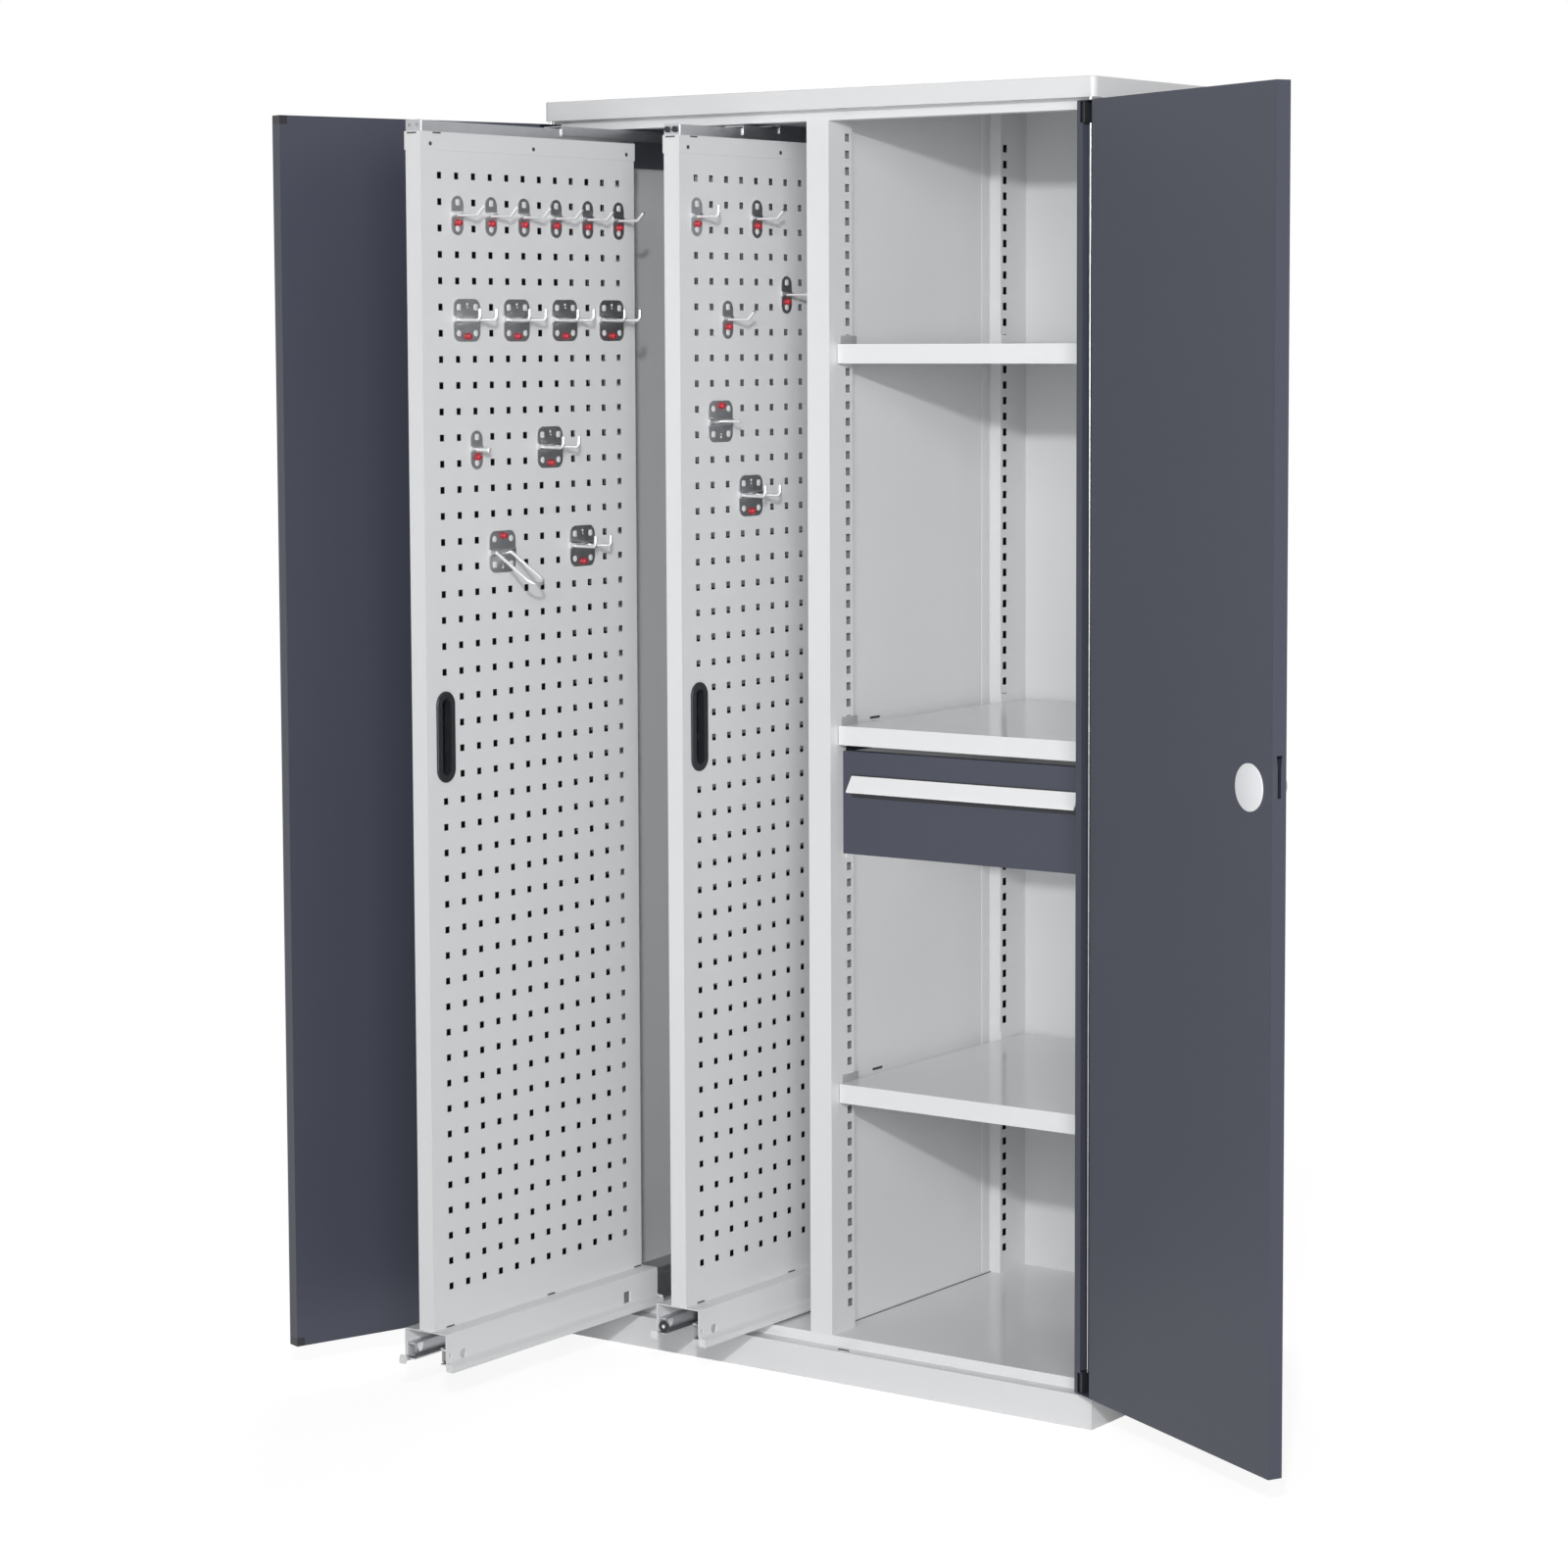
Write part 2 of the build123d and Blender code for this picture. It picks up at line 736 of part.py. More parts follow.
with BuildPart() as thick_pin:
    add(single_plate.part)
    with BuildSketch(Plane.YZ.offset(plate_sheet)):
        Circle(thick_pin_diameter / 2)
    extrude(amount=thick_pin_length)
    chamfer(thick_pin.faces().sort_by(Axis.X)[-1].edges(), thick_pin_diameter / 8)
with BuildPart() as long_hook:
    add(single_plate.part)
    with BuildSketch(Plane.YZ.offset(plate_sheet)):
        Circle(wire_diameter / 2)
    extrude(amount=long_arm)
with BuildPart() as double_pin:
    with Locations(Location((0, 0, 0), (180, 0, 0))):
        add(double_plate.part)
    with BuildSketch(Plane.YZ.offset(plate_sheet)):
        Circle(wire_diameter / 2)
    extrude(amount=hook_arm)
with BuildPart() as ring_holder:
    with Locations(Location((0, 0, 0), (180, 0, 0))):
        add(double_plate.part)
    ring_start = (plate_sheet, -ring_width / 2, 0)
    with BuildLine():
        FilletPolyline(
            ring_start,
            (plate_sheet + ring_reach, -ring_width / 2, -ring_drop),
            (plate_sheet + ring_reach, ring_width / 2, -ring_drop),
            (plate_sheet, ring_width / 2, 0),
            radius=ring_corner,
        )
    ring_heading = (ring_reach, 0, -ring_drop)
    with BuildSketch(Plane(origin=ring_start, x_dir=(0, 1, 0), z_dir=ring_heading)):
        Circle(wire_diameter / 2)
    sweep()
with BuildPart() as clip_tag:
    with BuildSketch(Plane.YZ.offset(plate_sheet)):
        RectangleRounded(clip_tag_width, clip_tag_height, clip_tag_radius)
    extrude(amount=clip_tag_thickness)

# Holders on each panel by kind: the column from the panel's front edge, counted
# from 0 and halfway between two columns for a double plate, and the row above
# the plate's middle, counted from the top
holder_kinds = {
    "angled": (angled_hook, "under_wire"),
    "tip": (tip_hook, "under_wire"),
    "double": (double_hook, "low"),
    "pin": (thick_pin, "under_wire"),
    "long": (long_hook, "under_wire"),
    "double_pin": (double_pin, "high"),
    "ring": (ring_holder, "high"),
}
clip_tag_places = {
    "under_wire": -clip_tag_drop,
    "low": clip_tag_inset - plate_double_height / 2,
    "high": plate_double_height / 2 - clip_tag_inset,
}
holders = {
    "left": (
        ("angled", 1, 1),
        ("angled", 3, 1),
        ("angled", 5, 1),
        ("angled", 7, 1),
        ("angled", 9, 1),
        ("angled", 11, 1),
        ("double", 1.5, 5),
        ("double", 4.5, 5),
        ("double", 7.5, 5),
        ("double", 10.5, 5),
        ("pin", 2, 10),
        ("double", 6.5, 10),
        ("ring", 3.5, 14),
        ("double", 8.5, 14),
    ),
    "right": (
        ("tip", 0, 1),
        ("angled", 4, 1),
        ("long", 6, 4),
        ("angled", 2, 5),
        ("double_pin", 1.5, 9),
        ("double", 3.5, 12),
    ),
}


def channel(side, mount_x, u, half_height, web_u, y, level):
    """A slide member lying on its side: u from the face that the slide is mounted on."""
    reach = sorted((mount_x + side * u[0], mount_x + side * u[1]))
    hollow = sorted((mount_x + side * web_u[0], mount_x + side * web_u[1]))
    slab(reach, y, (level - half_height, level + half_height))
    slab(hollow, y, (level - half_height + slide_web, level + half_height - slide_web), Mode.SUBTRACT)


def slide_fixed(side, mount_x, y, level):
    """The member on the cabinet, opening away from it."""
    channel(side, mount_x, (0, slide_channel), slide_height / 2, (slide_web, slide_channel), y, level)


def slide_middle(side, mount_x, y, level):
    """The member between the other two."""
    start = slide_middle_offset
    end = slide_middle_offset + slide_middle_width
    half = slide_height / 2 - slide_web - slide_play
    channel(side, mount_x, (start, end), half, (start + slide_web, end), y, level)


def slide_inner(side, mount_x, y, level):
    """The member on the moving part, opening towards the cabinet's member."""
    start = slide_inner_offset
    end = slide_inner_offset + slide_inner_width
    half = slide_height / 2 - 2 * slide_web - 2 * slide_play
    channel(side, mount_x, (start, end), half, (start, end - slide_web), y, level)


def top_channel(x, half_width, y, z, hollow_z):
    """A slide member above a panel, lying flat."""
    slab((x - half_width, x + half_width), y, z)
    hollow_half = half_width - top_slide_sheet
    slab((x - hollow_half, x + hollow_half), y, hollow_z, Mode.SUBTRACT)


# Beams on the floor that carry the slides of the two pull-outs
panel_places = {
    "left": (left + panel_from_left, left_pull),
    "right": (left + panel_from_left + panel_spacing, right_pull),
}
beam_length = slide_length + 2 * (slide_setback - beam_setback)
beam_y = (front + beam_setback, front + beam_setback + beam_length)
with BuildPart() as pullout_beams:
    for beam_x, pull in panel_places.values():
        outer_half = beam_width / 2
        inner_half = beam_width / 2 - beam_sheet
        slab((beam_x - outer_half, beam_x + outer_half), beam_y, (floor_z, floor_z + beam_height))
        slab(
            (beam_x - inner_half, beam_x + inner_half),
            beam_y,
            (floor_z, floor_z + beam_height - beam_sheet),
            Mode.SUBTRACT,
        )
finish(pullout_beams, "pullout_beams")

# Tray under the roof that carries the top slides, folded down along the side
# panel, the back panel and the divider
carrier_x = (left + sheet, divider_x - sheet / 2)
carrier_flap_y = (front_post_y[1], rear_post_y[0])
carrier_flap_z = (header_z - carrier_side, header_z)
with BuildPart() as top_slide_carrier:
    carrier_z = (header_z, header_z + carrier_sheet)
    slab(carrier_x, (inner_front + header_depth, inner_back), carrier_z)
    slab((carrier_x[0], carrier_x[0] + carrier_sheet), carrier_flap_y, carrier_flap_z)
    slab((carrier_x[1] - carrier_sheet, carrier_x[1]), carrier_flap_y, carrier_flap_z)
    slab((corner_left, post_left), (inner_back - carrier_sheet, inner_back), carrier_flap_z)
    for post_x in ((left + sheet, corner_left), (post_left, post_right)):
        slab(post_x, rear_post_y, carrier_z, Mode.SUBTRACT)
finish(top_slide_carrier, "top_slide_carrier")

# Pull-outs: a perforated panel on a hat-shaped carriage, guided by three nested
# slides. The middle members run at half the travel of the panel
slide_z = floor_z + slide_level
lower_y = (front + slide_setback, front + slide_setback + slide_length)
top_fixed_y = (front + top_fixed_setback, front + top_fixed_setback + top_fixed_length)
top_middle_y = (front + top_middle_setback, front + top_middle_setback + top_middle_length)
top_middle_half = top_slide_width / 2 - top_slide_sheet - top_slide_play
top_inner_half = top_middle_half - top_slide_sheet - top_slide_play
top_middle_top = header_z - top_middle_drop


def moved_out(y, distance):
    """Limits along Y, carried towards the front."""
    return (y[0] - distance, y[1] - distance)


for name, (mid_x, pull) in panel_places.items():
    panel_y = (front + panel_setback - pull, front + panel_setback - pull + panel_length)
    panel_mid_y = (panel_y[0] + panel_y[1]) / 2
    panel_x = (mid_x - panel_thickness / 2, mid_x + panel_thickness / 2)
    panel_z = (carriage_top, panel_top)

    with BuildPart() as panel_skin_right:
        with Locations((panel_x[1] - panel_sheet, panel_mid_y, panel_mid_z)):
            add(grip_skin.part, clean=False)
    finish(panel_skin_right, f"{name}_panel_skin_right")
    with BuildPart() as panel_skin_left:
        with Locations((panel_x[0], panel_mid_y, panel_mid_z)):
            add(plain_skin.part, clean=False)
    finish(panel_skin_left, f"{name}_panel_skin_left")

    with BuildPart() as panel_stiles:
        for edge_y, inward in ((panel_y[0], 1), (panel_y[1], -1)):
            web_y = edge_y + inward * panel_sheet
            slab(panel_x, sorted((edge_y, web_y)), panel_z)
            for skin_x, across in ((panel_x[0], 1), (panel_x[1], -1)):
                leg_x = sorted((skin_x + across * panel_sheet, skin_x + 2 * across * panel_sheet))
                slab(leg_x, sorted((web_y, edge_y + inward * stile_depth)), panel_z)
    finish(panel_stiles, f"{name}_panel_stiles")

    with BuildPart() as top_cap:
        slab(
            (panel_x[0] - panel_sheet, panel_x[1] + panel_sheet),
            (panel_y[0] - panel_sheet, panel_y[1] + panel_sheet),
            (cap_top - cap_skirt, cap_top),
        )
        slab(panel_x, panel_y, (cap_top - cap_skirt, panel_top), Mode.SUBTRACT)
    finish(top_cap, f"{name}_top_cap")

    with BuildPart() as grip_ring:
        with BuildSketch(Plane.YZ.offset(panel_x[1])):
            with Locations((panel_mid_y + grip_from_mid, panel_mid_z)):
                SlotOverall(grip_height, grip_width, rotation=90)
        extrude(amount=grip_rim)
        chamfer(grip_ring.faces().sort_by(Axis.X)[-1].edges(), grip_rim / 3)
        with BuildSketch(Plane.YZ.offset(panel_x[1])):
            with Locations((panel_mid_y + grip_from_mid, panel_mid_z)):
                SlotOverall(*collar_opening, rotation=90)
        extrude(amount=-grip_collar)
        with BuildSketch(Plane.YZ.offset(panel_x[1])):
            with Locations((panel_mid_y + grip_from_mid, panel_mid_z)):
                SlotOverall(*grip_opening, rotation=90)
        extrude(amount=2 * grip_collar, both=True, mode=Mode.SUBTRACT)
    finish(grip_ring, f"{name}_grip_ring")

    with BuildPart() as tool_holders:
        for kind, column, row in holders[name]:
            plate_y = panel_y[0] + first_column + column * hole_pitch
            plate_z = panel_mid_z + ((hole_rows - 1) / 2 - row) * hole_pitch - half_pitch
            with Locations((panel_x[1], plate_y, plate_z)):
                add(holder_kinds[kind][0].part)
    finish(tool_holders, f"{name}_tool_holders")
    with BuildPart() as holder_clips:
        for kind, column, row in holders[name]:
            plate_y = panel_y[0] + first_column + column * hole_pitch
            plate_z = panel_mid_z + ((hole_rows - 1) / 2 - row) * hole_pitch - half_pitch
            with Locations((panel_x[1], plate_y, plate_z + clip_tag_places[holder_kinds[kind][1]])):
                add(clip_tag.part)
    finish(holder_clips, f"{name}_holder_clips")

    carriage_y = (panel_y[0] - carriage_lead, panel_y[0] - carriage_lead + carriage_length)
    wall_x = carriage_width / 2
    foot_z = carriage_top - carriage_wall
    with BuildPart() as carriage:
        slab((mid_x - wall_x, mid_x + wall_x), carriage_y, (foot_z, carriage_top))
        slab(
            (mid_x - wall_x + carriage_sheet, mid_x + wall_x - carriage_sheet),
            carriage_y,
            (foot_z, carriage_top - carriage_sheet),
            Mode.SUBTRACT,
        )
        for side in (-1, 1):
            foot_x = sorted((mid_x + side * wall_x, mid_x + side * (wall_x + carriage_foot)))
            foot_end = wall_x + carriage_foot
            lip_x = sorted((mid_x + side * (foot_end - carriage_sheet), mid_x + side * foot_end))
            slab(foot_x, carriage_y, (foot_z, foot_z + carriage_sheet))
            slab(lip_x, carriage_y, (foot_z - carriage_lip, foot_z))
        with BuildSketch(Plane.YZ.offset(mid_x + wall_x)):
            with Locations((carriage_y[0] + lug_hole_setback, carriage_top - lug_hole_drop)):
                Circle(lug_hole_diameter / 2)
            with Locations((carriage_y[0] + lock_hole_setback, carriage_top - lock_hole_drop)):
                Circle(lock_hole_diameter / 2)
            with Locations((carriage_y[0] + window_setback, carriage_top - window_drop)):
                Rectangle(window_length, window_height)
        extrude(amount=2 * carriage_sheet, both=True, mode=Mode.SUBTRACT)
    finish(carriage, f"{name}_carriage")

    with BuildPart() as slides_fixed:
        for side in (-1, 1):
            slide_fixed(side, mid_x + side * beam_width / 2, lower_y, slide_z)
        top_channel(
            mid_x,
            top_slide_width / 2,
            top_fixed_y,
            (header_z - top_fixed_depth, header_z),
            (header_z - top_fixed_depth, header_z - top_slide_sheet),
        )
    finish(slides_fixed, f"{name}_slides_fixed")
    with BuildPart() as slides_middle:
        for side in (-1, 1):
            slide_middle(side, mid_x + side * beam_width / 2, moved_out(lower_y, pull / 2), slide_z)
        top_channel(
            mid_x,
            top_middle_half,
            moved_out(top_middle_y, pull / 2),
            (top_middle_top - top_middle_depth, top_middle_top),
            (top_middle_top - top_middle_depth, top_middle_top - top_slide_sheet),
        )
    finish(slides_middle, f"{name}_slides_middle")
    with BuildPart() as slides_inner:
        for side in (-1, 1):
            slide_inner(side, mid_x + side * beam_width / 2, moved_out(lower_y, pull), slide_z)
        inner_y = (panel_y[0] + top_inner_inset, panel_y[1])
        top_channel(
            mid_x,
            top_inner_half,
            inner_y,
            (cap_top, cap_top + top_inner_depth),
            (cap_top + top_slide_sheet, cap_top + top_inner_depth),
        )
        bracket_y = (inner_y[0] - top_slide_sheet, inner_y[0])
        slab(
            (mid_x - end_bracket_width / 2, mid_x + end_bracket_width / 2),
            bracket_y,
            (cap_top, cap_top + end_bracket_height),
        )
        with BuildSketch(Plane.XZ.offset(-bracket_y[0])):
            with Locations((mid_x, cap_top + end_bracket_height / 2)):
                with GridLocations(end_bracket_spacing, end_bracket_spacing, 2, 1):
                    Circle(end_bracket_hole / 2)
        extrude(amount=2 * top_slide_sheet, both=True, mode=Mode.SUBTRACT)
    finish(slides_inner, f"{name}_slides_inner")

# Drawer under the middle shelf, between two plates that hang inside the shelf
middle_level = shelf_levels["middle"]
middle_under = middle_level - shelf_fold
housing_x = (shelf_left + shelf_sheet, shelf_right - shelf_sheet)
housing_y = (front + housing_setback, front + housing_setback + housing_length)
hanger_y = (front + housing_hanger_setback, front + housing_hanger_setback + housing_hanger_length)
housing_bottom = middle_under - housing_drop
drawer_slide_x = (housing_x[0] + housing_sheet, housing_x[1] - housing_sheet)
drawer_slide_y = (front + drawer_slide_setback, front + drawer_slide_setback + drawer_slide_length)
drawer_front_top = middle_under - drawer_front_gap
drawer_front_bottom = drawer_front_top - drawer_front_height
drawer_slide_z = drawer_front_bottom + drawer_slide_level
with BuildPart() as drawer_housing:
    for face, side in ((housing_x[0], 1), (housing_x[1], -1)):
        plate_x = sorted((face, face + side * housing_sheet))
        slab(plate_x, housing_y, (housing_bottom, middle_under - housing_clip_gap))
        slab(plate_x, hanger_y, (middle_under - housing_clip_gap, middle_level - shelf_sheet))
finish(drawer_housing, "drawer_housing")
with BuildPart() as drawer_slides_fixed:
    slide_fixed(1, drawer_slide_x[0], drawer_slide_y, drawer_slide_z)
    slide_fixed(-1, drawer_slide_x[1], drawer_slide_y, drawer_slide_z)
finish(drawer_slides_fixed, "drawer_slides_fixed")
with BuildPart() as drawer_slides_middle:
    slide_middle(1, drawer_slide_x[0], drawer_slide_y, drawer_slide_z)
    slide_middle(-1, drawer_slide_x[1], drawer_slide_y, drawer_slide_z)
finish(drawer_slides_middle, "drawer_slides_middle")
with BuildPart() as drawer_slides_inner:
    slide_inner(1, drawer_slide_x[0], drawer_slide_y, drawer_slide_z)
    slide_inner(-1, drawer_slide_x[1], drawer_slide_y, drawer_slide_z)
finish(drawer_slides_inner, "drawer_slides_inner")

slide_total = slide_inner_offset + slide_inner_width
drawer_mid_x = (shelf_left + shelf_right) / 2
drawer_x = (drawer_slide_x[0] + slide_total, drawer_slide_x[1] - slide_total)
drawer_start = front + shelf_setback + drawer_front_sheet
drawer_y = (drawer_start, drawer_start + drawer_length)
drawer_bottom = drawer_front_bottom + drawer_floor_rise
with BuildPart() as drawer_box:
    slab(drawer_x, drawer_y, (drawer_bottom, drawer_bottom + drawer_side_height))
    slab(
        (drawer_x[0] + drawer_sheet, drawer_x[1] - drawer_sheet),
        (drawer_y[0] + drawer_sheet, drawer_y[1] - drawer_sheet),
        (drawer_bottom + drawer_sheet, drawer_bottom + drawer_side_height),
        Mode.SUBTRACT,
    )
finish(drawer_box, "drawer_box")
front_x = (drawer_mid_x - drawer_front_width / 2, drawer_mid_x + drawer_front_width / 2)
front_y = (front + shelf_setback, front + shelf_setback + drawer_front_depth)
with BuildPart() as drawer_front:
    slab(front_x, front_y, (drawer_front_bottom, drawer_front_top))
    slab(
        (front_x[0] + drawer_front_sheet, front_x[1] - drawer_front_sheet),
        (front_y[0] + drawer_front_sheet, front_y[1]),
        (drawer_front_bottom + drawer_front_sheet, drawer_front_top - drawer_front_sheet),
        Mode.SUBTRACT,
    )
finish(drawer_front, "drawer_front")
handle_top = drawer_front_top - handle_drop
with BuildPart() as drawer_handle:
    with BuildSketch(Plane.YZ.offset(front_x[0] + handle_end)):
        with BuildLine():
            Polyline(
                (front_y[0], handle_top + handle_sheet),
                (front_y[0], handle_top - handle_sheet),
                (front_y[0] - handle_reach + handle_sheet, handle_top - handle_height),
                (front_y[0] - handle_reach, handle_top - handle_height),
                (front_y[0] - handle_reach, handle_top - handle_height + handle_sheet),
                close=True,
            )
        make_face()
    extrude(amount=drawer_front_width - 2 * handle_end)
finish(drawer_handle, "drawer_handle")
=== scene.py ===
import math

import bmesh
import bpy
from mathutils import Matrix, Vector


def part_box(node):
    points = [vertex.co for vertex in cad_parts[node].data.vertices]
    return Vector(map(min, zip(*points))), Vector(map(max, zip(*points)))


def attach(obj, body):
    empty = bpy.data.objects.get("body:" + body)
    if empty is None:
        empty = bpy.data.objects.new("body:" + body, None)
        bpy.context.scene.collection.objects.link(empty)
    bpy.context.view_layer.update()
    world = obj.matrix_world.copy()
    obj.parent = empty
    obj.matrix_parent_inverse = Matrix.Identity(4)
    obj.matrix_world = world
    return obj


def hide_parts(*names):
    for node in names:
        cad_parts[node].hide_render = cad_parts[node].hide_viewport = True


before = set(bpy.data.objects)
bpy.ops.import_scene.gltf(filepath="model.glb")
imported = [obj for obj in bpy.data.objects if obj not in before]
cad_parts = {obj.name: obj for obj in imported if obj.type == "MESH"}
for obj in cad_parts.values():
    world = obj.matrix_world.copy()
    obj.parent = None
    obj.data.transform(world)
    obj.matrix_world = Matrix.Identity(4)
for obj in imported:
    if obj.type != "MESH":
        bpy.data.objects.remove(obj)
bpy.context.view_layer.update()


# Studio
# A seamless white floor, one small softbox above the camera that throws the crisp
# shadows behind the roof lip and under the shelves, a large one in front that
# fills the compartments, one behind for the back, and a white room.
class Signal:
    """A socket in the recipe of a finish, with sums written on it as in Python."""

    def __init__(self, recipe, socket):
        self.recipe = recipe
        self.socket = socket

    def reckoned(self, operation, first, second):
        return self.recipe.node("ShaderNodeMath", {"operation": operation}, {0: first, 1: second})

    def __add__(self, other):
        return self.reckoned("ADD", self, other)

    def __radd__(self, other):
        return self.reckoned("ADD", other, self)

    def __mul__(self, other):
        return self.reckoned("MULTIPLY", self, other)

    def __rmul__(self, other):
        return self.reckoned("MULTIPLY", other, self)

    def __gt__(self, other):
        return self.reckoned("GREATER_THAN", self, other)

    def __lt__(self, other):
        return self.reckoned("LESS_THAN", self, other)


class Recipe:
    """The nodes of one finish, added from its pattern up to its surface."""

    def __init__(self, owner):
        self.owner = owner
        self.owner.use_nodes = True
        self.tree = self.owner.node_tree
        self.tree.nodes.clear()

    def node(self, kind, settings, sockets, output=0):
        """One node: its settings first, then the values or links of its sockets."""
        made = self.tree.nodes.new(kind)
        for name, value in settings.items():
            setattr(made, name, value)
        for key, value in sockets.items():
            if isinstance(value, Signal):
                self.tree.links.new(value.socket, made.inputs[key])
            else:
                made.inputs[key].default_value = value
        return Signal(self, made.outputs[output]) if made.outputs else None

    def place(self):
        """Where a point lies on the cabinet, in metres."""
        return self.node("ShaderNodeTexCoord", {}, {}, 3)

    def noise(self, size, detail=2, stretch=(1, 1, 1)):
        """Soft blotches of about this size in metres."""
        scale = [way / size for way in stretch]
        spot = self.node("ShaderNodeMapping", {}, {0: self.place(), 3: scale})
        return self.node("ShaderNodeTexNoise", {}, {"Vector": spot, "Scale": 1, "Detail": detail})

    def blend(self, share, first, second):
        """From one colour to the other."""
        ends = [tone if isinstance(tone, Signal) else (*tone, 1) for tone in (first, second)]
        return self.node("ShaderNodeMix", {"data_type": "RGBA"}, {0: share, 6: ends[0], 7: ends[1]}, 2)

    def dents(self, height, depth):
        """Small hills of a height signal, this deep in metres."""
        return self.node("ShaderNodeBump", {}, {"Height": height, "Distance": depth})

    def done(self, shader, output="ShaderNodeOutputMaterial"):
        self.node(output, {}, {0: shader})
        return self.owner


def seen_or_mirrored(recipe):
    """1 where a camera, a reflection or glass looks, 0 where light bounces."""
    camera_ray = recipe.node("ShaderNodeLightPath", {}, {}, "Is Camera Ray")
    glossy_ray = recipe.node("ShaderNodeLightPath", {}, {}, "Is Glossy Ray")
    clear_ray = recipe.node("ShaderNodeLightPath", {}, {}, "Is Transmission Ray")
    return camera_ray + glossy_ray + clear_ray


white = (1, 1, 1, 1)
floor_size = 60
near_glow = 1.26
shadow_share = 0.3
shadow_reach = 2.4
white_floor = Recipe(bpy.data.materials.new("floor_white"))
floor_paint = white_floor.node("ShaderNodeBsdfDiffuse", {}, {"Color": (0.8, 0.8, 0.8, 1)})
floor_glow = white_floor.node("ShaderNodeEmission", {}, {"Color": white, "Strength": near_glow})
floor_far = white_floor.node("ShaderNodeEmission", {}, {"Color": white, "Strength": 1})
glow_share = 1 - shadow_share
floor_near = white_floor.node("ShaderNodeMixShader", {}, {0: glow_share, 1: floor_paint, 2: floor_glow})
way_out = white_floor.node("ShaderNodeVectorMath", {"operation": "LENGTH"}, {0: white_floor.place()}, 1)
fade = white_floor.node(
    "ShaderNodeMapRange", {}, {"Value": way_out, "From Min": shadow_reach / 3, "From Max": shadow_reach}
)
floor_shown = white_floor.node("ShaderNodeMixShader", {}, {0: fade, 1: floor_near, 2: floor_far})
floor_surface = white_floor.node(
    "ShaderNodeMixShader", {}, {0: seen_or_mirrored(white_floor), 1: floor_paint, 2: floor_shown}
)
bpy.ops.mesh.primitive_plane_add(size=floor_size)
floor = bpy.context.object
floor.name = "floor"
floor.data.materials.append(white_floor.done(floor_surface))

room_light = 0.11
room = Recipe(bpy.data.worlds.new("white_room"))
room_fill = room.node("ShaderNodeBackground", {}, {"Color": white, "Strength": room_light})
room_shown = room.node("ShaderNodeBackground", {}, {"Color": white, "Strength": 1})
room_mix = room.node("ShaderNodeMixShader", {}, {0: seen_or_mirrored(room), 1: room_fill, 2: room_shown})
bpy.context.scene.world = room.done(room_mix, "ShaderNodeOutputWorld")


def softbox(name, place, target, size, power):
    """A square lamp that faces a point."""
    lamp = bpy.data.lights.new(name, "AREA")
    lamp.shape = "SQUARE"
    lamp.size = size
    lamp.energy = power
    holder = bpy.data.objects.new(name, lamp)
    holder.location = place
    holder.rotation_euler = (Vector(target) - Vector(place)).to_track_quat("-Z", "Y").to_euler()
    bpy.context.collection.objects.link(holder)


middle = (0, 0, 1)
softbox("key_softbox", (3.03, -4.77, 2.57), middle, 0.14, 120)
softbox("fill_softbox", (4.7, -6.2, 2.5), middle, 3.6, 290)
softbox("back_softbox", (-4.4, 6.4, 3.2), middle, 3.6, 330)

camera = bpy.data.cameras.new("camera")
camera.lens = 89.1906
camera.sensor_width = 36
camera.shift_y = -0.08
camera.clip_start = 0.1
camera.clip_end = 200
tripod = bpy.data.objects.new("camera", camera)
tripod.location = (3.36123, -5.04114, 1.58221)
turn = math.radians(35.6254)
dip = math.radians(4.7154)
ahead = Vector((-math.sin(turn) * math.cos(dip), math.cos(turn) * math.cos(dip), -math.sin(dip)))
tripod.rotation_mode = "QUATERNION"
level = ahead.to_track_quat("-Z", "Y")
tripod.rotation_quaternion = level @ Matrix.Rotation(math.radians(-0.2345), 3, "Z").to_quaternion()
bpy.context.collection.objects.link(tripod)
bpy.context.scene.camera = tripod
bpy.context.scene.view_settings.view_transform = "Standard"


# Cabinet body
# Folded steel sheet with a fine light grey powder coat: sides, back, roof,
# plinth, uprights, divider, shelves and their hangers are welded or hooked in.
# Painted shade: colours that fill the hollows of posts, panels and the drawer housing, so that their
# holes, slots and gaps read dark.
painted_shade_dark = (0.02, 0.021, 0.024)
painted_shade_grey = (0.27, 0.272, 0.28)


def powder_coat(name, shade, roughness, grain, hollow=(), gloss=0.5, inside=painted_shade_dark):
    """Baked powder paint: a faint orange peel, a trace of mottling and a soft gloss.
    Inside the hollows, given by their limits along the axes, the colour turns to painted shade."""
    coat = Recipe(bpy.data.materials.new(name))
    mottle = coat.noise(0.35, 3)
    peel = coat.noise(grain, 2)
    low = tuple(tone * 0.985 for tone in shade)
    high = tuple(tone * 1.015 for tone in shade)
    colour = coat.blend(mottle, low, high)
    for limits in hollow:
        in_shade_mask = 1
        for axis, (near, far) in enumerate(limits):
            way = coat.node("ShaderNodeSeparateXYZ", {}, {0: coat.place()}, axis)
            in_shade_mask = (way > near) * (way < far) * in_shade_mask
        colour = coat.blend(in_shade_mask, colour, inside)
    surface = coat.node(
        "ShaderNodeBsdfPrincipled",
        {},
        {
            "Base Color": colour,
            "Roughness": mottle * 0.08 + (roughness - 0.04),
            "Normal": coat.dents(peel, 0.00006),
            "Specular IOR Level": gloss,
        },
    )
    return coat.done(surface)


def finish(material, *nodes):
    """Give CAD nodes their material."""
    for node in nodes:
        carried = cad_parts[node]
        carried.data.materials.clear()
        carried.data.materials.append(material)


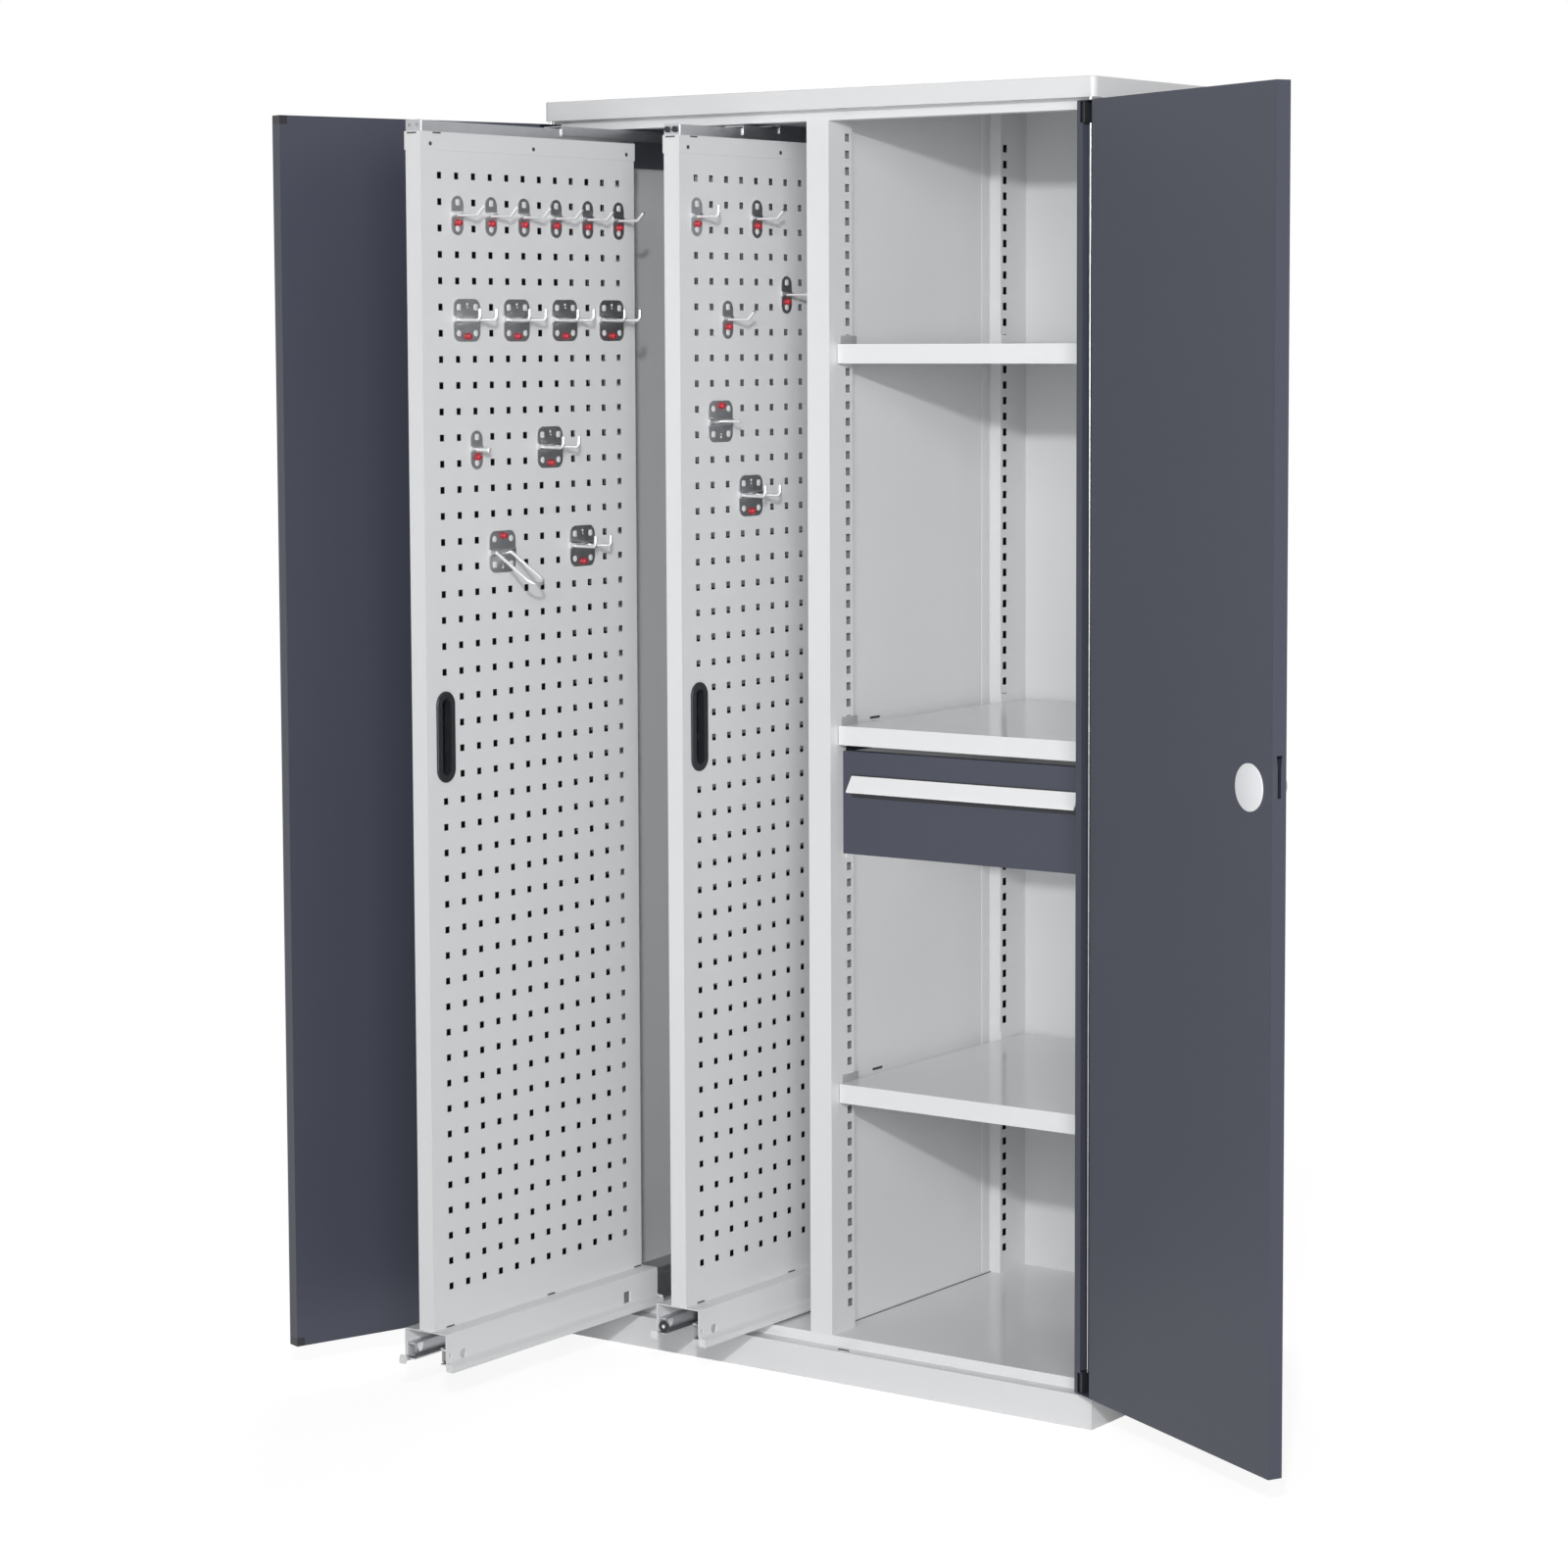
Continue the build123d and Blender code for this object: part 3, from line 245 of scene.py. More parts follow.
sheet = 0.0015
into_sheet = 0.6
fine_grain = 0.0016
body_grey = (0.735, 0.74, 0.75)
body_roughness = 0.36
body_paint = powder_coat("body_paint", body_grey, body_roughness, fine_grain)
finish(
    body_paint,
    "side_panel_left",
    "side_panel_right",
    "back_panel",
    "roof",
    "header_rail",
    "plinth",
    "divider_panel",
    "drawer_box",
)
# The housing is painted dark from just below the drawer front's top edge upward: painted shade in the
# gap under the middle shelf.
front_cover = 0.003
gap_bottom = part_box("drawer_front")[1].z - front_cover
drawer_gap_shade = ((-1, 1), (-1, 1), (gap_bottom, 2))
housing_paint_shaded = powder_coat("housing_paint_shaded", body_grey, body_roughness, fine_grain, [drawer_gap_shade])
finish(housing_paint_shaded, "drawer_housing")

# A lighter copy of the body paint: painted light on the shelf and floor tops, which get little lamp
# light from above.
shelf_paint_lit = powder_coat("shelf_paint_lit", (0.775, 0.78, 0.79), 0.12, 0.003, gloss=0.6)
finish(shelf_paint_lit, "floor_panel", "shelf_upper", "shelf_middle", "shelf_lower")

# Inside each post the paint turns to painted shade, mid grey in the front post and dark in the others,
# so that its slots read dark.
for posts in ("divider_post_front", "divider_post_rear", "corner_posts_left", "corner_posts_right"):
    post_low, post_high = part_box(posts)
    if posts == "divider_post_front":
        first_y, unlit = post_low.y, painted_shade_grey
    else:
        first_y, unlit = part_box("divider_post_rear")[0].y, painted_shade_dark
    post_shade_hollow = (
        (post_low.x + sheet * into_sheet, post_high.x - sheet * into_sheet),
        (first_y + sheet * into_sheet, post_high.y - sheet * into_sheet),
    )
    post_paint_with_shade = powder_coat(
        f"{posts}_paint", body_grey, body_roughness, fine_grain, [post_shade_hollow], inside=unlit
    )
    finish(post_paint_with_shade, posts)


# Doors, drawer front and slide carrier
# The same folded steel, powder coated in a darker anthracite with a satin
# gloss that picks up a blurred picture of the panels.
door_paint = powder_coat("door_paint", (0.058, 0.064, 0.088), 0.42, fine_grain, gloss=0.4)
finish(
    door_paint,
    "left_door_skin",
    "left_door_inner",
    "right_door_skin",
    "right_door_inner",
    "drawer_front",
)
# The carrier's anthracite is painted much lighter than the doors': painted light at the top of the
# compartment, where little lamp light reaches.
carrier_paint_lit = powder_coat("carrier_paint_lit", (0.2, 0.21, 0.25), 0.5, fine_grain)
finish(carrier_paint_lit, "top_slide_carrier")


# Tool panels and carriages
# Perforated skins on folded stiles under a pressed cap, standing on a hat-shaped
# carriage, all powder coated like the body.
panel_grey = (0.735, 0.74, 0.75)
panel_roughness = 0.4
panel_sheet = 0.0012
panel_paint = powder_coat("panel_paint", panel_grey, panel_roughness, fine_grain)
# Between the skins of each panel the paint turns dark: painted shade that makes the holes read black.
for side in ("left", "right"):
    skin_low, skin_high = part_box(f"{side}_panel_stiles")
    panel_shade_hollow = (
        (skin_low.x + panel_sheet * into_sheet, skin_high.x - panel_sheet * into_sheet),
        (skin_low.y + panel_sheet, skin_high.y - panel_sheet),
    )
    skin_paint_with_shade = powder_coat(
        f"{side}_skin_paint_with_shade", panel_grey, panel_roughness, fine_grain, [panel_shade_hollow]
    )
    finish(skin_paint_with_shade, f"{side}_panel_skin_right", f"{side}_panel_skin_left")
    finish(
        panel_paint,
        f"{side}_panel_stiles",
        f"{side}_top_cap",
    )


def begin(name, add, **settings):
    """A primitive by itself, placed in its mesh and open for shaping."""
    bpy.ops.object.select_all(action="DESELECT")
    add(**settings)
    piece = bpy.context.object
    piece.name = name
    piece.data.name = name
    bpy.ops.object.transform_apply()
    bpy.ops.object.mode_set(mode="EDIT")
    return piece


def pick(piece, kind, wanted):
    """Select only the wanted faces or edges of the piece that is being shaped."""
    bpy.context.tool_settings.mesh_select_mode = (False, kind == "edges", kind == "faces")
    bpy.ops.mesh.select_all(action="DESELECT")
    mesh = bmesh.from_edit_mesh(piece.data)
    for part in getattr(mesh, kind):
        if wanted(part):
            part.select_set(True)
    mesh.select_flush_mode()
    bmesh.update_edit_mesh(piece.data)


def faces_out(face):
    """True for a face that looks away from the panel, towards +X."""
    return face.normal.x > 0.9


def end_shaping(piece, angle=30):
    """Close the piece and smooth its shallow edges."""
    bpy.ops.object.mode_set(mode="OBJECT")
    bpy.ops.object.shade_smooth_by_angle(angle=math.radians(angle))
    return piece


def set_out(master, name, places):
    """Copies of a shape at these places, each with its own mesh, joined to one piece."""
    copies = []
    for place in places:
        copy = master.copy()
        copy.data = master.data.copy()
        copy.matrix_world = place if isinstance(place, Matrix) else Matrix.Translation(place)
        bpy.context.collection.objects.link(copy)
        copies.append(copy)
    bpy.ops.object.select_all(action="DESELECT")
    for copy in copies:
        copy.select_set(True)
    bpy.context.view_layer.objects.active = copies[0]
    if len(copies) > 1:
        bpy.ops.object.join()
    row = bpy.context.view_layer.objects.active
    row.name = name
    row.data.name = name
    bpy.ops.object.transform_apply()
    return row


def fit_out(piece, material, body):
    """Give a new piece its finish and the CAD body that it moves with."""
    piece.data.materials.clear()
    piece.data.materials.append(material)
    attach(piece, body)


def turned(place, angle):
    """A place with the shape turned round the vertical."""
    return Matrix.Translation(place) @ Matrix.Rotation(math.radians(angle), 4, "Z")


# Rivets and tab slots of the top caps
# Blind rivets with a dark mandrel hole hold each cap's skirts to the stiles; the slide
# bracket's tabs reach through narrow slots at the cap's front, drawn as painted shade.
# Dark steel for the rivets and screws; on the slots, tabs and seams drawn as dark pads it is painted
# shade.
dark_steel_and_slot_shade = powder_coat("dark_steel_and_slot_shade", (0.045, 0.046, 0.05), 0.5, 0.001)
rivet_radius = 0.003
rivet_depth = 0.0016
rivet_dome = 0.0006
mandrel_depth = 0.0009
rivet_drop = 0.0175
rivet_inset = 0.0215
rivet_shift = 0.005
tab_size = (0.0006, 0.018, 0.0021)
tab_back = 0.036
tab_drop = 0.0016
front_tab_drop = 0.0024
front_tab_shift = 0.001
rivet = begin(
    "rivet",
    bpy.ops.mesh.primitive_cylinder_add,
    vertices=18,
    radius=rivet_radius,
    depth=rivet_depth,
    rotation=(0, math.radians(90), 0),
)
pick(rivet, "faces", faces_out)
bpy.ops.mesh.inset(thickness=rivet_radius * 0.3)
bpy.ops.transform.translate(value=(rivet_dome, 0, 0))
bpy.ops.mesh.inset(thickness=rivet_radius * 0.2)
bpy.ops.transform.translate(value=(-mandrel_depth, 0, 0))
end_shaping(rivet)
# A dark pad with rounded ends: painted shade for a slot.
tab_slot_shade = begin("tab_slot_shade", bpy.ops.mesh.primitive_cube_add, size=1, scale=tab_size)
pick(tab_slot_shade, "edges", lambda edge: abs(edge.verts[0].co.x - edge.verts[1].co.x) > 0.0001)
bpy.ops.mesh.bevel(offset=0.0008, segments=3)
end_shaping(tab_slot_shade)
for side in ("left", "right"):
    cap_low, cap_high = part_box(f"{side}_top_cap")
    cap_middle = (cap_low + cap_high) / 2
    rivet_rows = (cap_low.y + rivet_inset, cap_middle.y + rivet_shift, cap_high.y - rivet_inset)
    rivet_z = cap_high.z - rivet_drop
    rivet_places = [turned((cap_high.x, y, rivet_z), 0) for y in rivet_rows]
    rivet_places += [turned((cap_low.x, y, rivet_z), 180) for y in rivet_rows]
    rivets = set_out(rivet, f"{side}_cap_rivets", rivet_places)
    fit_out(rivets, dark_steel_and_slot_shade, f"{side}_pullout")
    slot_places = [
        turned((cap_high.x, cap_low.y + tab_back, cap_high.z - tab_drop), 0),
        turned((cap_low.x, cap_low.y + tab_back, cap_high.z - tab_drop), 180),
        turned((cap_middle.x - front_tab_shift, cap_low.y, cap_high.z - front_tab_drop), -90),
    ]
    slots = set_out(tab_slot_shade, f"{side}_cap_slots", slot_places)
    fit_out(slots, dark_steel_and_slot_shade, f"{side}_pullout")
bpy.data.objects.remove(rivet)


# Carriages
# Each panel stands on a folded sheet: a flat top, two walls with a lock hole and a
# screw hole in the right one, and feet that flare out and down. Two stop screws
# stand in its front; the panel's tabs show above it as short slots of painted shade.
wall_half = 0.04
carriage_sheet = 0.0015
wall_foot = 0.0165
foot_flare = (
    (1.01, 0.0145),
    (1.07, 0.0122),
    (1.19, 0.0108),
    (1.265, 0.0092),
    (1.3, 0.0062),
    (1.3, 0.0025),
    (1.28, 0),
)
carriage_holes = ((0.006, 0.009, 0.033, 32), (0.014, 0.038, 0.035, 40))
window_place = (0.432, 0.032)
window_size = (0.016, 0.018)
cutter_depth = 0.01


def folded_carriage(side):
    """The bent sheet under one panel, cut for its holes and its rear window."""
    low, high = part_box(f"{side}_carriage")
    centre = (low + high) / 2
    carriage = begin(
        f"{side}_folded_carriage",
        bpy.ops.mesh.primitive_plane_add,
        size=1,
        location=(centre.x, centre.y, high.z),
    )
    bpy.ops.transform.resize(value=(2 * wall_half, high.y - low.y, 1))
    pick(carriage, "edges", lambda edge: abs(edge.verts[0].co.x - edge.verts[1].co.x) < 0.0001)
    wide, level = 1, high.z - low.z
    for share, height in ((1, wall_foot), *foot_flare):
        bpy.ops.mesh.extrude_region_move(TRANSFORM_OT_translate={"value": (0, 0, height - level)})
        bpy.ops.transform.resize(value=(share / wide, 1, 1))
        wide, level = share, height
    bpy.ops.mesh.select_all(action="SELECT")
    bpy.ops.mesh.normals_make_consistent(inside=False)
    bpy.ops.object.mode_set(mode="OBJECT")
    bend = carriage.modifiers.new("bend", "BEVEL")
    bend.width = 0.0015
    bend.segments = 3
    bend.angle_limit = math.radians(60)
    wall = carriage.modifiers.new("wall", "SOLIDIFY")
    wall.thickness = carriage_sheet
    wall.offset = -1
    wall.use_even_offset = True
    cutters = []
    for width, back, drop, facets in carriage_holes:
        cutter = begin(
            "hole_cutter",
            bpy.ops.mesh.primitive_cylinder_add,
            vertices=facets,
            radius=width / 2,
            depth=cutter_depth,
            location=(centre.x + wall_half, low.y + back, high.z - drop),
            rotation=(0, math.radians(90), 0),
        )
        cutters.append(end_shaping(cutter))
    window = begin(
        "window_cutter",
        bpy.ops.mesh.primitive_cube_add,
        size=1,
        location=(centre.x + wall_half, low.y + window_place[0], high.z - window_place[1]),
        scale=(cutter_depth, *window_size),
    )
    pick(window, "edges", lambda edge: abs(edge.verts[0].co.x - edge.verts[1].co.x) > 0.001)
    bpy.ops.mesh.bevel(offset=0.0015, segments=3)
    cutters.append(end_shaping(window))
    for cutter in cutters:
        hole = carriage.modifiers.new(cutter.name, "BOOLEAN")
        hole.operation = "DIFFERENCE"
        hole.solver = "EXACT"
        hole.object = cutter
    bpy.ops.object.select_all(action="DESELECT")
    carriage.select_set(True)
    bpy.context.view_layer.objects.active = carriage
    for modifier in [modifier.name for modifier in carriage.modifiers]:
        bpy.ops.object.modifier_apply(modifier=modifier)
    for cutter in cutters:
        bpy.data.objects.remove(cutter)
    bpy.ops.object.shade_smooth_by_angle(angle=math.radians(40))
    return carriage


foot_end_size = (0.0122, 0.0015, 0.0128)
foot_end = begin("foot_end", bpy.ops.mesh.primitive_cube_add, size=1, scale=foot_end_size)
pick(foot_end, "edges", lambda edge: abs(edge.verts[0].co.y - edge.verts[1].co.y) > 0.001)
bpy.ops.mesh.bevel(offset=0.0024, segments=4)
end_shaping(foot_end)
screw_radius = 0.0022
screw_length = 0.0035
screw_back = 0.0024
screw_drops = (0.021, 0.041)
screw = begin(
    "carriage_screw",
    bpy.ops.mesh.primitive_cylinder_add,
    vertices=16,
    radius=screw_radius,
    depth=screw_length,
    rotation=(0, math.radians(90), 0),
)
pick(screw, "faces", lambda face: face.normal.x < -0.9)
bpy.ops.mesh.bevel(offset=screw_radius * 0.25, segments=2)
end_shaping(screw)
foot_out = 0.0051
foot_in = 0.00085
foot_rise = 0.0069
middle_tab_shift = 0.024
rear_tab_inset = 0.009
for side in ("left", "right"):
    skin_low, skin_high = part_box(f"{side}_panel_skin_right")
    wall_low, wall_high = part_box(f"{side}_carriage")
    middle_x = (wall_low.x + wall_high.x) / 2
    carriage = folded_carriage(side)
    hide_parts(f"{side}_carriage")
    fit_out(carriage, panel_paint, f"{side}_pullout")
    foot_x = [middle_x + way * (wall_half + foot_out) for way in (-1, 1)]
    foot_y = (wall_low.y + foot_in, wall_high.y - foot_in)
    foot_places = [(x, y, wall_low.z + foot_rise) for x in foot_x for y in foot_y]
    foot_ends = set_out(foot_end, f"{side}_foot_ends", foot_places)
    fit_out(foot_ends, panel_paint, f"{side}_pullout")
    screw_x = middle_x + wall_half - sheet - screw_length / 2
    screw_places = [(screw_x, wall_low.y + screw_back, wall_high.z - drop) for drop in screw_drops]
    screws = set_out(screw, f"{side}_carriage_screws", screw_places)
    fit_out(screws, dark_steel_and_slot_shade, f"{side}_pullout")
    middle_tab = (skin_low.y + skin_high.y) / 2 + middle_tab_shift
    tab_rows = (skin_low.y + tab_back, middle_tab, skin_high.y - rear_tab_inset)
    tab_places = [turned((skin_high.x, y, skin_low.z + tab_drop), 0) for y in tab_rows]
    # The panel's tabs, drawn as dark pads: painted shade.
    tabs = set_out(tab_slot_shade, f"{side}_panel_tabs", tab_places)
    fit_out(tabs, dark_steel_and_slot_shade, f"{side}_pullout")
for master in (screw, tab_slot_shade, foot_end):
    bpy.data.objects.remove(master)


# Slides, hinge rods and lock rods
# Rolled and drawn steel, bright zinc plated, with fine marks along its length.
def zinc(name, shade, roughness, along, wire_start=None):
    """Bright zinc: fine draw marks along one axis and a faint cloudy bloom.
    Right of wire_start it is the brighter zinc of drawn wire."""
    plate = Recipe(bpy.data.materials.new(name))
    stretch = [1 if way != along else 0.02 for way in "XYZ"]
    marks = plate.noise(0.0008, 2, stretch)
    bloom = plate.noise(0.02, 3)
    low = tuple(tone * 0.86 for tone in shade)
    colour = plate.blend(bloom, low, shade)
    if wire_start is not None:
        across = plate.node("ShaderNodeSeparateXYZ", {}, {0: plate.place()}, 0)
        colour = plate.blend(across > wire_start, colour, (0.93, 0.935, 0.94))
    surface = plate.node(
        "ShaderNodeBsdfPrincipled",
        {},
        {
            "Base Color": colour,
            "Metallic": 1,
            "Roughness": bloom * 0.12 + marks * 0.08 + (roughness - 0.1),
            "Normal": plate.dents(marks, 0.00003),
        },
    )
    return plate.done(surface)


slide_zinc = zinc("slide_zinc", (0.56, 0.57, 0.59), 0.4, "Y")
for side in ("left", "right", "drawer"):
    finish(
        slide_zinc,
        f"{side}_slides_fixed",
        f"{side}_slides_middle",
        f"{side}_slides_inner",
    )
finish(slide_zinc, "pullout_beams")
finish(body_paint, "shelf_clips")
rod_zinc = zinc("rod_zinc", (0.66, 0.66, 0.67), 0.24, "Z")
finish(rod_zinc, "hinge_rods", "lock_rod_upper", "lock_rod_lower", "lock_cam")


# Bumpers, release levers and bracket buffers of the slides
# Each lower slide member ends in a plastic bumper and carries a small zinc release
# lever; the right panel also has a pinned black stop ring and two rubber buffers.
def moulded(name, shade, roughness, grain, depth):
    """Moulded plastic with a fine spark-eroded grain."""
    plastic = Recipe(bpy.data.materials.new(name))
    texture = plastic.noise(grain, 2)
    low = tuple(tone * 0.9 for tone in shade)
    surface = plastic.node(
        "ShaderNodeBsdfPrincipled",
        {},
        {
            "Base Color": plastic.blend(texture, low, shade),
            "Roughness": texture * 0.1 + (roughness - 0.05),
            "Normal": plastic.dents(texture, depth),
        },
    )
    return plastic.done(surface)


bumper_plastic = moulded("bumper_plastic", (0.27, 0.275, 0.285), 0.45, 0.0008, 0.00003)
bumper_size = (0.009, 0.003, 0.016)
bumper_rim = 0.0022
bumper_dish = 0.0016
bumper_inset = 0.0005
bumper = begin("slide_bumper", bpy.ops.mesh.primitive_cube_add, size=1, scale=bumper_size)
pick(bumper, "faces", lambda face: face.normal.y < -0.9)
bpy.ops.mesh.inset(thickness=bumper_rim)
bpy.ops.transform.translate(value=(0, bumper_dish, 0))
end_shaping(bumper)
lever_size = (0.0016, 0.012, 0.006)
lever_reach = 0.007
lever = begin("release_lever", bpy.ops.mesh.primitive_cube_add, size=1, scale=lever_size)
pick(lever, "faces", lambda face: face.normal.z < -0.9)
bpy.ops.mesh.extrude_region_move(TRANSFORM_OT_translate={"value": (0, 0, -lever_reach)})
bpy.ops.transform.resize(value=(1, 0.4, 1))
pick(lever, "edges", lambda edge: abs(edge.verts[0].co.x - edge.verts[1].co.x) > 0.0001)
bpy.ops.mesh.bevel(offset=0.001, segments=2)
end_shaping(lever)
buffer_radius = 0.0046
buffer_depth = 0.004
buffer = begin(
    "bracket_buffer",
    bpy.ops.mesh.primitive_cylinder_add,
    vertices=24,
    radius=buffer_radius,
    depth=buffer_depth,
    rotation=(math.radians(90), 0, 0),
)
pick(buffer, "faces", lambda face: face.normal.y < -0.9)
bpy.ops.mesh.bevel(offset=0.001, segments=3)
end_shaping(buffer)
bright_zinc = zinc("bright_zinc", (0.86, 0.87, 0.88), 0.3, "X")
slide_half = 0.0385
slide_rise = 0.0127
bumper_x = slide_half - 0.0065
lever_x = slide_half - 0.0029
lever_back = 0.024
lever_rise = 0.004
for side in ("left", "right"):
    slide_low, slide_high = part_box(f"{side}_slides_inner")
    middle_x = (slide_low.x + slide_high.x) / 2
    slide_z = slide_low.z + slide_rise
    slide_y = slide_low.y + bumper_inset
    ends = [(middle_x + way * bumper_x, slide_y + bumper_size[1] / 2, slide_z) for way in (-1, 1)]
    bumpers = set_out(bumper, f"{side}_slide_bumpers", ends)
    fit_out(bumpers, bumper_plastic, f"{side}_pullout")
    webs = [(middle_x + way * lever_x, slide_y + lever_back, slide_z + lever_rise) for way in (-1, 1)]
    levers = set_out(lever, f"{side}_release_levers", webs)
    fit_out(levers, bright_zinc, f"{side}_pullout")
bracket_low, bracket_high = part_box("right_slides_inner")
bracket_x = (bracket_low.x + bracket_high.x) / 2
bracket_rise = 0.00825
buffer_x = 0.007
bracket_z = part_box("right_top_cap")[1].z + bracket_rise
seats = [(bracket_x + way * buffer_x, bracket_low.y - buffer_depth / 2, bracket_z) for way in (-1, 1)]
buffers = set_out(buffer, "right_bracket_buffers", seats)
ring_radius = 0.0085
ring_depth = 0.002
ring_x = 0.029
stop_ring = begin(
    "stop_ring",
    bpy.ops.mesh.primitive_cylinder_add,
    vertices=32,
    radius=ring_radius,
    depth=ring_depth,
    rotation=(math.radians(90), 0, 0),
)
pick(stop_ring, "faces", lambda face: face.normal.y < -0.9)
bpy.ops.mesh.inset(thickness=ring_radius * 0.4)
bpy.ops.transform.translate(value=(0, 0.0008, 0))
end_shaping(stop_ring)
stop_pin = begin(
    "stop_pin",
    bpy.ops.mesh.primitive_cylinder_add,
    vertices=20,
    radius=ring_radius * 0.36,
    depth=0.003,
    rotation=(math.radians(90), 0, 0),
)
pick(stop_pin, "faces", lambda face: face.normal.y < -0.9)
bpy.ops.mesh.bevel(offset=ring_radius * 0.1, segments=2)
end_shaping(stop_pin)
ring_seat = Vector((bracket_x - ring_x, slide_y - ring_depth / 2, slide_z))
rings = set_out(stop_ring, "right_stop_ring", [ring_seat])
pin = set_out(stop_pin, "right_stop_pin", [ring_seat])
fit_out(pin, bright_zinc, "right_pullout")
for master in (bumper, lever, buffer, stop_ring, stop_pin):
    bpy.data.objects.remove(master)


# Tool holders
# Pressed steel plates with welded wire hooks, zinc plated, each locked by a red
# plastic clip.
plate_rise = 0.002
clip_red = moulded("clip_red", (0.45, 0.01, 0.024), 0.25, 0.0008, 0.00002)
for side in ("left", "right"):
    wire_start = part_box(f"{side}_panel_skin_right")[1].x + plate_rise * 1.3
    holder_zinc = zinc(f"{side}_holder_zinc", (0.5, 0.505, 0.52), 0.34, "X", wire_start)
    finish(holder_zinc, f"{side}_tool_holders")
    finish(clip_red, f"{side}_holder_clips")


# Windows, crimped bands and clip domes of the holders
# Each plate has punched windows that show the panel's paint, a crimped band
# across its middle that grips the wire, and a domed red clip over its tag.
pitch = 0.038
columns = 12
middle_row = 21
holders = {
    "left": {
        "single": ((1, 1), (3, 1), (5, 1), (7, 1), (9, 1), (11, 1), (2, 10)),
        "double": ((1.5, 5), (4.5, 5), (7.5, 5), (10.5, 5), (6.5, 10), (8.5, 14)),
        "turned": ((3.5, 14),),
    },
    "right": {"single": ((0, 1), (4, 1), (6, 4), (2, 5)), "double": ((3.5, 12),), "turned": ((1.5, 9),)},
}


def plate_middle(side, column, row):
    """The middle of a plate, counted in holes from the panel's front and top."""
    low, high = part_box(f"{side}_panel_skin_right")
    along = (low.y + high.y) / 2 + (column - (columns - 1) / 2) * pitch
    up = (low.z + high.z) / 2 + (middle_row - row) * pitch
    return Vector((high.x + plate_rise, along, up))


def pressed(name, width, height, rise, corner, edge):
    """A flat pressed pad that looks along +X, with rounded corners and a soft rim."""
    pad = begin(name, bpy.ops.mesh.primitive_cube_add, size=1, scale=(rise * 2, width, height))
    pick(pad, "edges", lambda edge: abs(edge.verts[0].co.x - edge.verts[1].co.x) > rise)
    bpy.ops.mesh.bevel(offset=corner, segments=4)
    pick(pad, "faces", faces_out)
    bpy.ops.mesh.inset(thickness=edge)
    bpy.ops.transform.translate(value=(edge * 0.4, 0, 0))
    return end_shaping(pad)


square_window = pressed("square_window", 0.0088, 0.009, 0.0003, 0.002, 0.0006)
round_window = pressed("round_window", 0.0092, 0.0092, 0.0003, 0.0044, 0.0006)
small_window = pressed("small_window", 0.004, 0.004, 0.0003, 0.0019, 0.0004)
single_band = pressed("single_band", 0.0262, 0.0085, 0.0012, 0.001, 0.0018)
double_band = pressed("double_band", 0.0592, 0.0105, 0.0014, 0.001, 0.002)
dome = begin(
    "clip_dome",
    bpy.ops.mesh.primitive_uv_sphere_add,
    segments=28,
    ring_count=14,
    radius=1,
    scale=(0.0062, 0.0054, 0.005),
)
bpy.ops.mesh.select_all(action="SELECT")
bpy.ops.mesh.bisect(plane_co=(0, 0, 0), plane_no=(1, 0, 0), clear_inner=True, use_fill=True)
bpy.ops.mesh.extrude_region_move(TRANSFORM_OT_translate={"value": (-0.0012, 0, 0)})
end_shaping(dome, 50)
bpy.ops.object.select_all(action="DESELECT")
half = pitch / 2
double_drop = 0.0235
single_drop = 0.0105
clip_lift = Vector((0.0012, 0.001, 0))
band_lift = Vector((0, 0, 0.0015))
for side in ("left", "right"):
    singles = [plate_middle(side, *spot) for spot in holders[side]["single"]]
    doubles = [plate_middle(side, *spot) for spot in holders[side]["double"]]
    upside_down = [plate_middle(side, *spot) for spot in holders[side]["turned"]]
    body = f"{side}_pullout"
    squares = [spot + Vector((0, 0, half)) for spot in singles]
    rounds = [spot + Vector((0, 0, -half)) for spot in singles]
    dots = []
    tags = [spot + clip_lift - Vector((0, 0, single_drop)) for spot in singles]
    for plates, up in ((doubles, 1), (upside_down, -1)):
        squares += [spot + Vector((0, way * half, up * half)) for spot in plates for way in (-1, 1)]
        rounds += [spot + Vector((0, way * half, -up * half)) for spot in plates for way in (-1, 1)]
        dots += [spot + Vector((0, 0, up * double_drop)) for spot in plates]
        tags += [spot + clip_lift - Vector((0, 0, up * double_drop)) for spot in plates]
    fit_out(set_out(square_window, f"{side}_square_windows", squares), panel_paint, body)
    fit_out(set_out(round_window, f"{side}_round_windows", rounds), panel_paint, body)
    fit_out(set_out(small_window, f"{side}_small_windows", dots), panel_paint, body)
    single_crimps = set_out(single_band, f"{side}_single_bands", [spot + band_lift for spot in singles])
    fit_out(single_crimps, bright_zinc, body)
    crimps = [spot + band_lift for spot in doubles] + [spot - band_lift for spot in upside_down]
    fit_out(set_out(double_band, f"{side}_double_bands", crimps), bright_zinc, body)
    domes = set_out(dome, f"{side}_clip_domes", tags)
    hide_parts(f"{side}_holder_clips")
    fit_out(domes, clip_red, body)
for master in (square_window, round_window, small_window, single_band, double_band, dome):
    bpy.data.objects.remove(master)


# Black plastic parts
# Grip rings, hinge bearings and corner caps are moulded in black.
black_plastic = moulded("black_plastic", (0.016, 0.017, 0.022), 0.42, 0.0009, 0.00004)
for side in ("left", "right"):
    finish(black_plastic, f"{side}_grip_ring", f"{side}_door_bearings")
finish(black_plastic, "left_door_caps")
fit_out(buffers, black_plastic, "right_pullout")
fit_out(rings, black_plastic, "right_pullout")


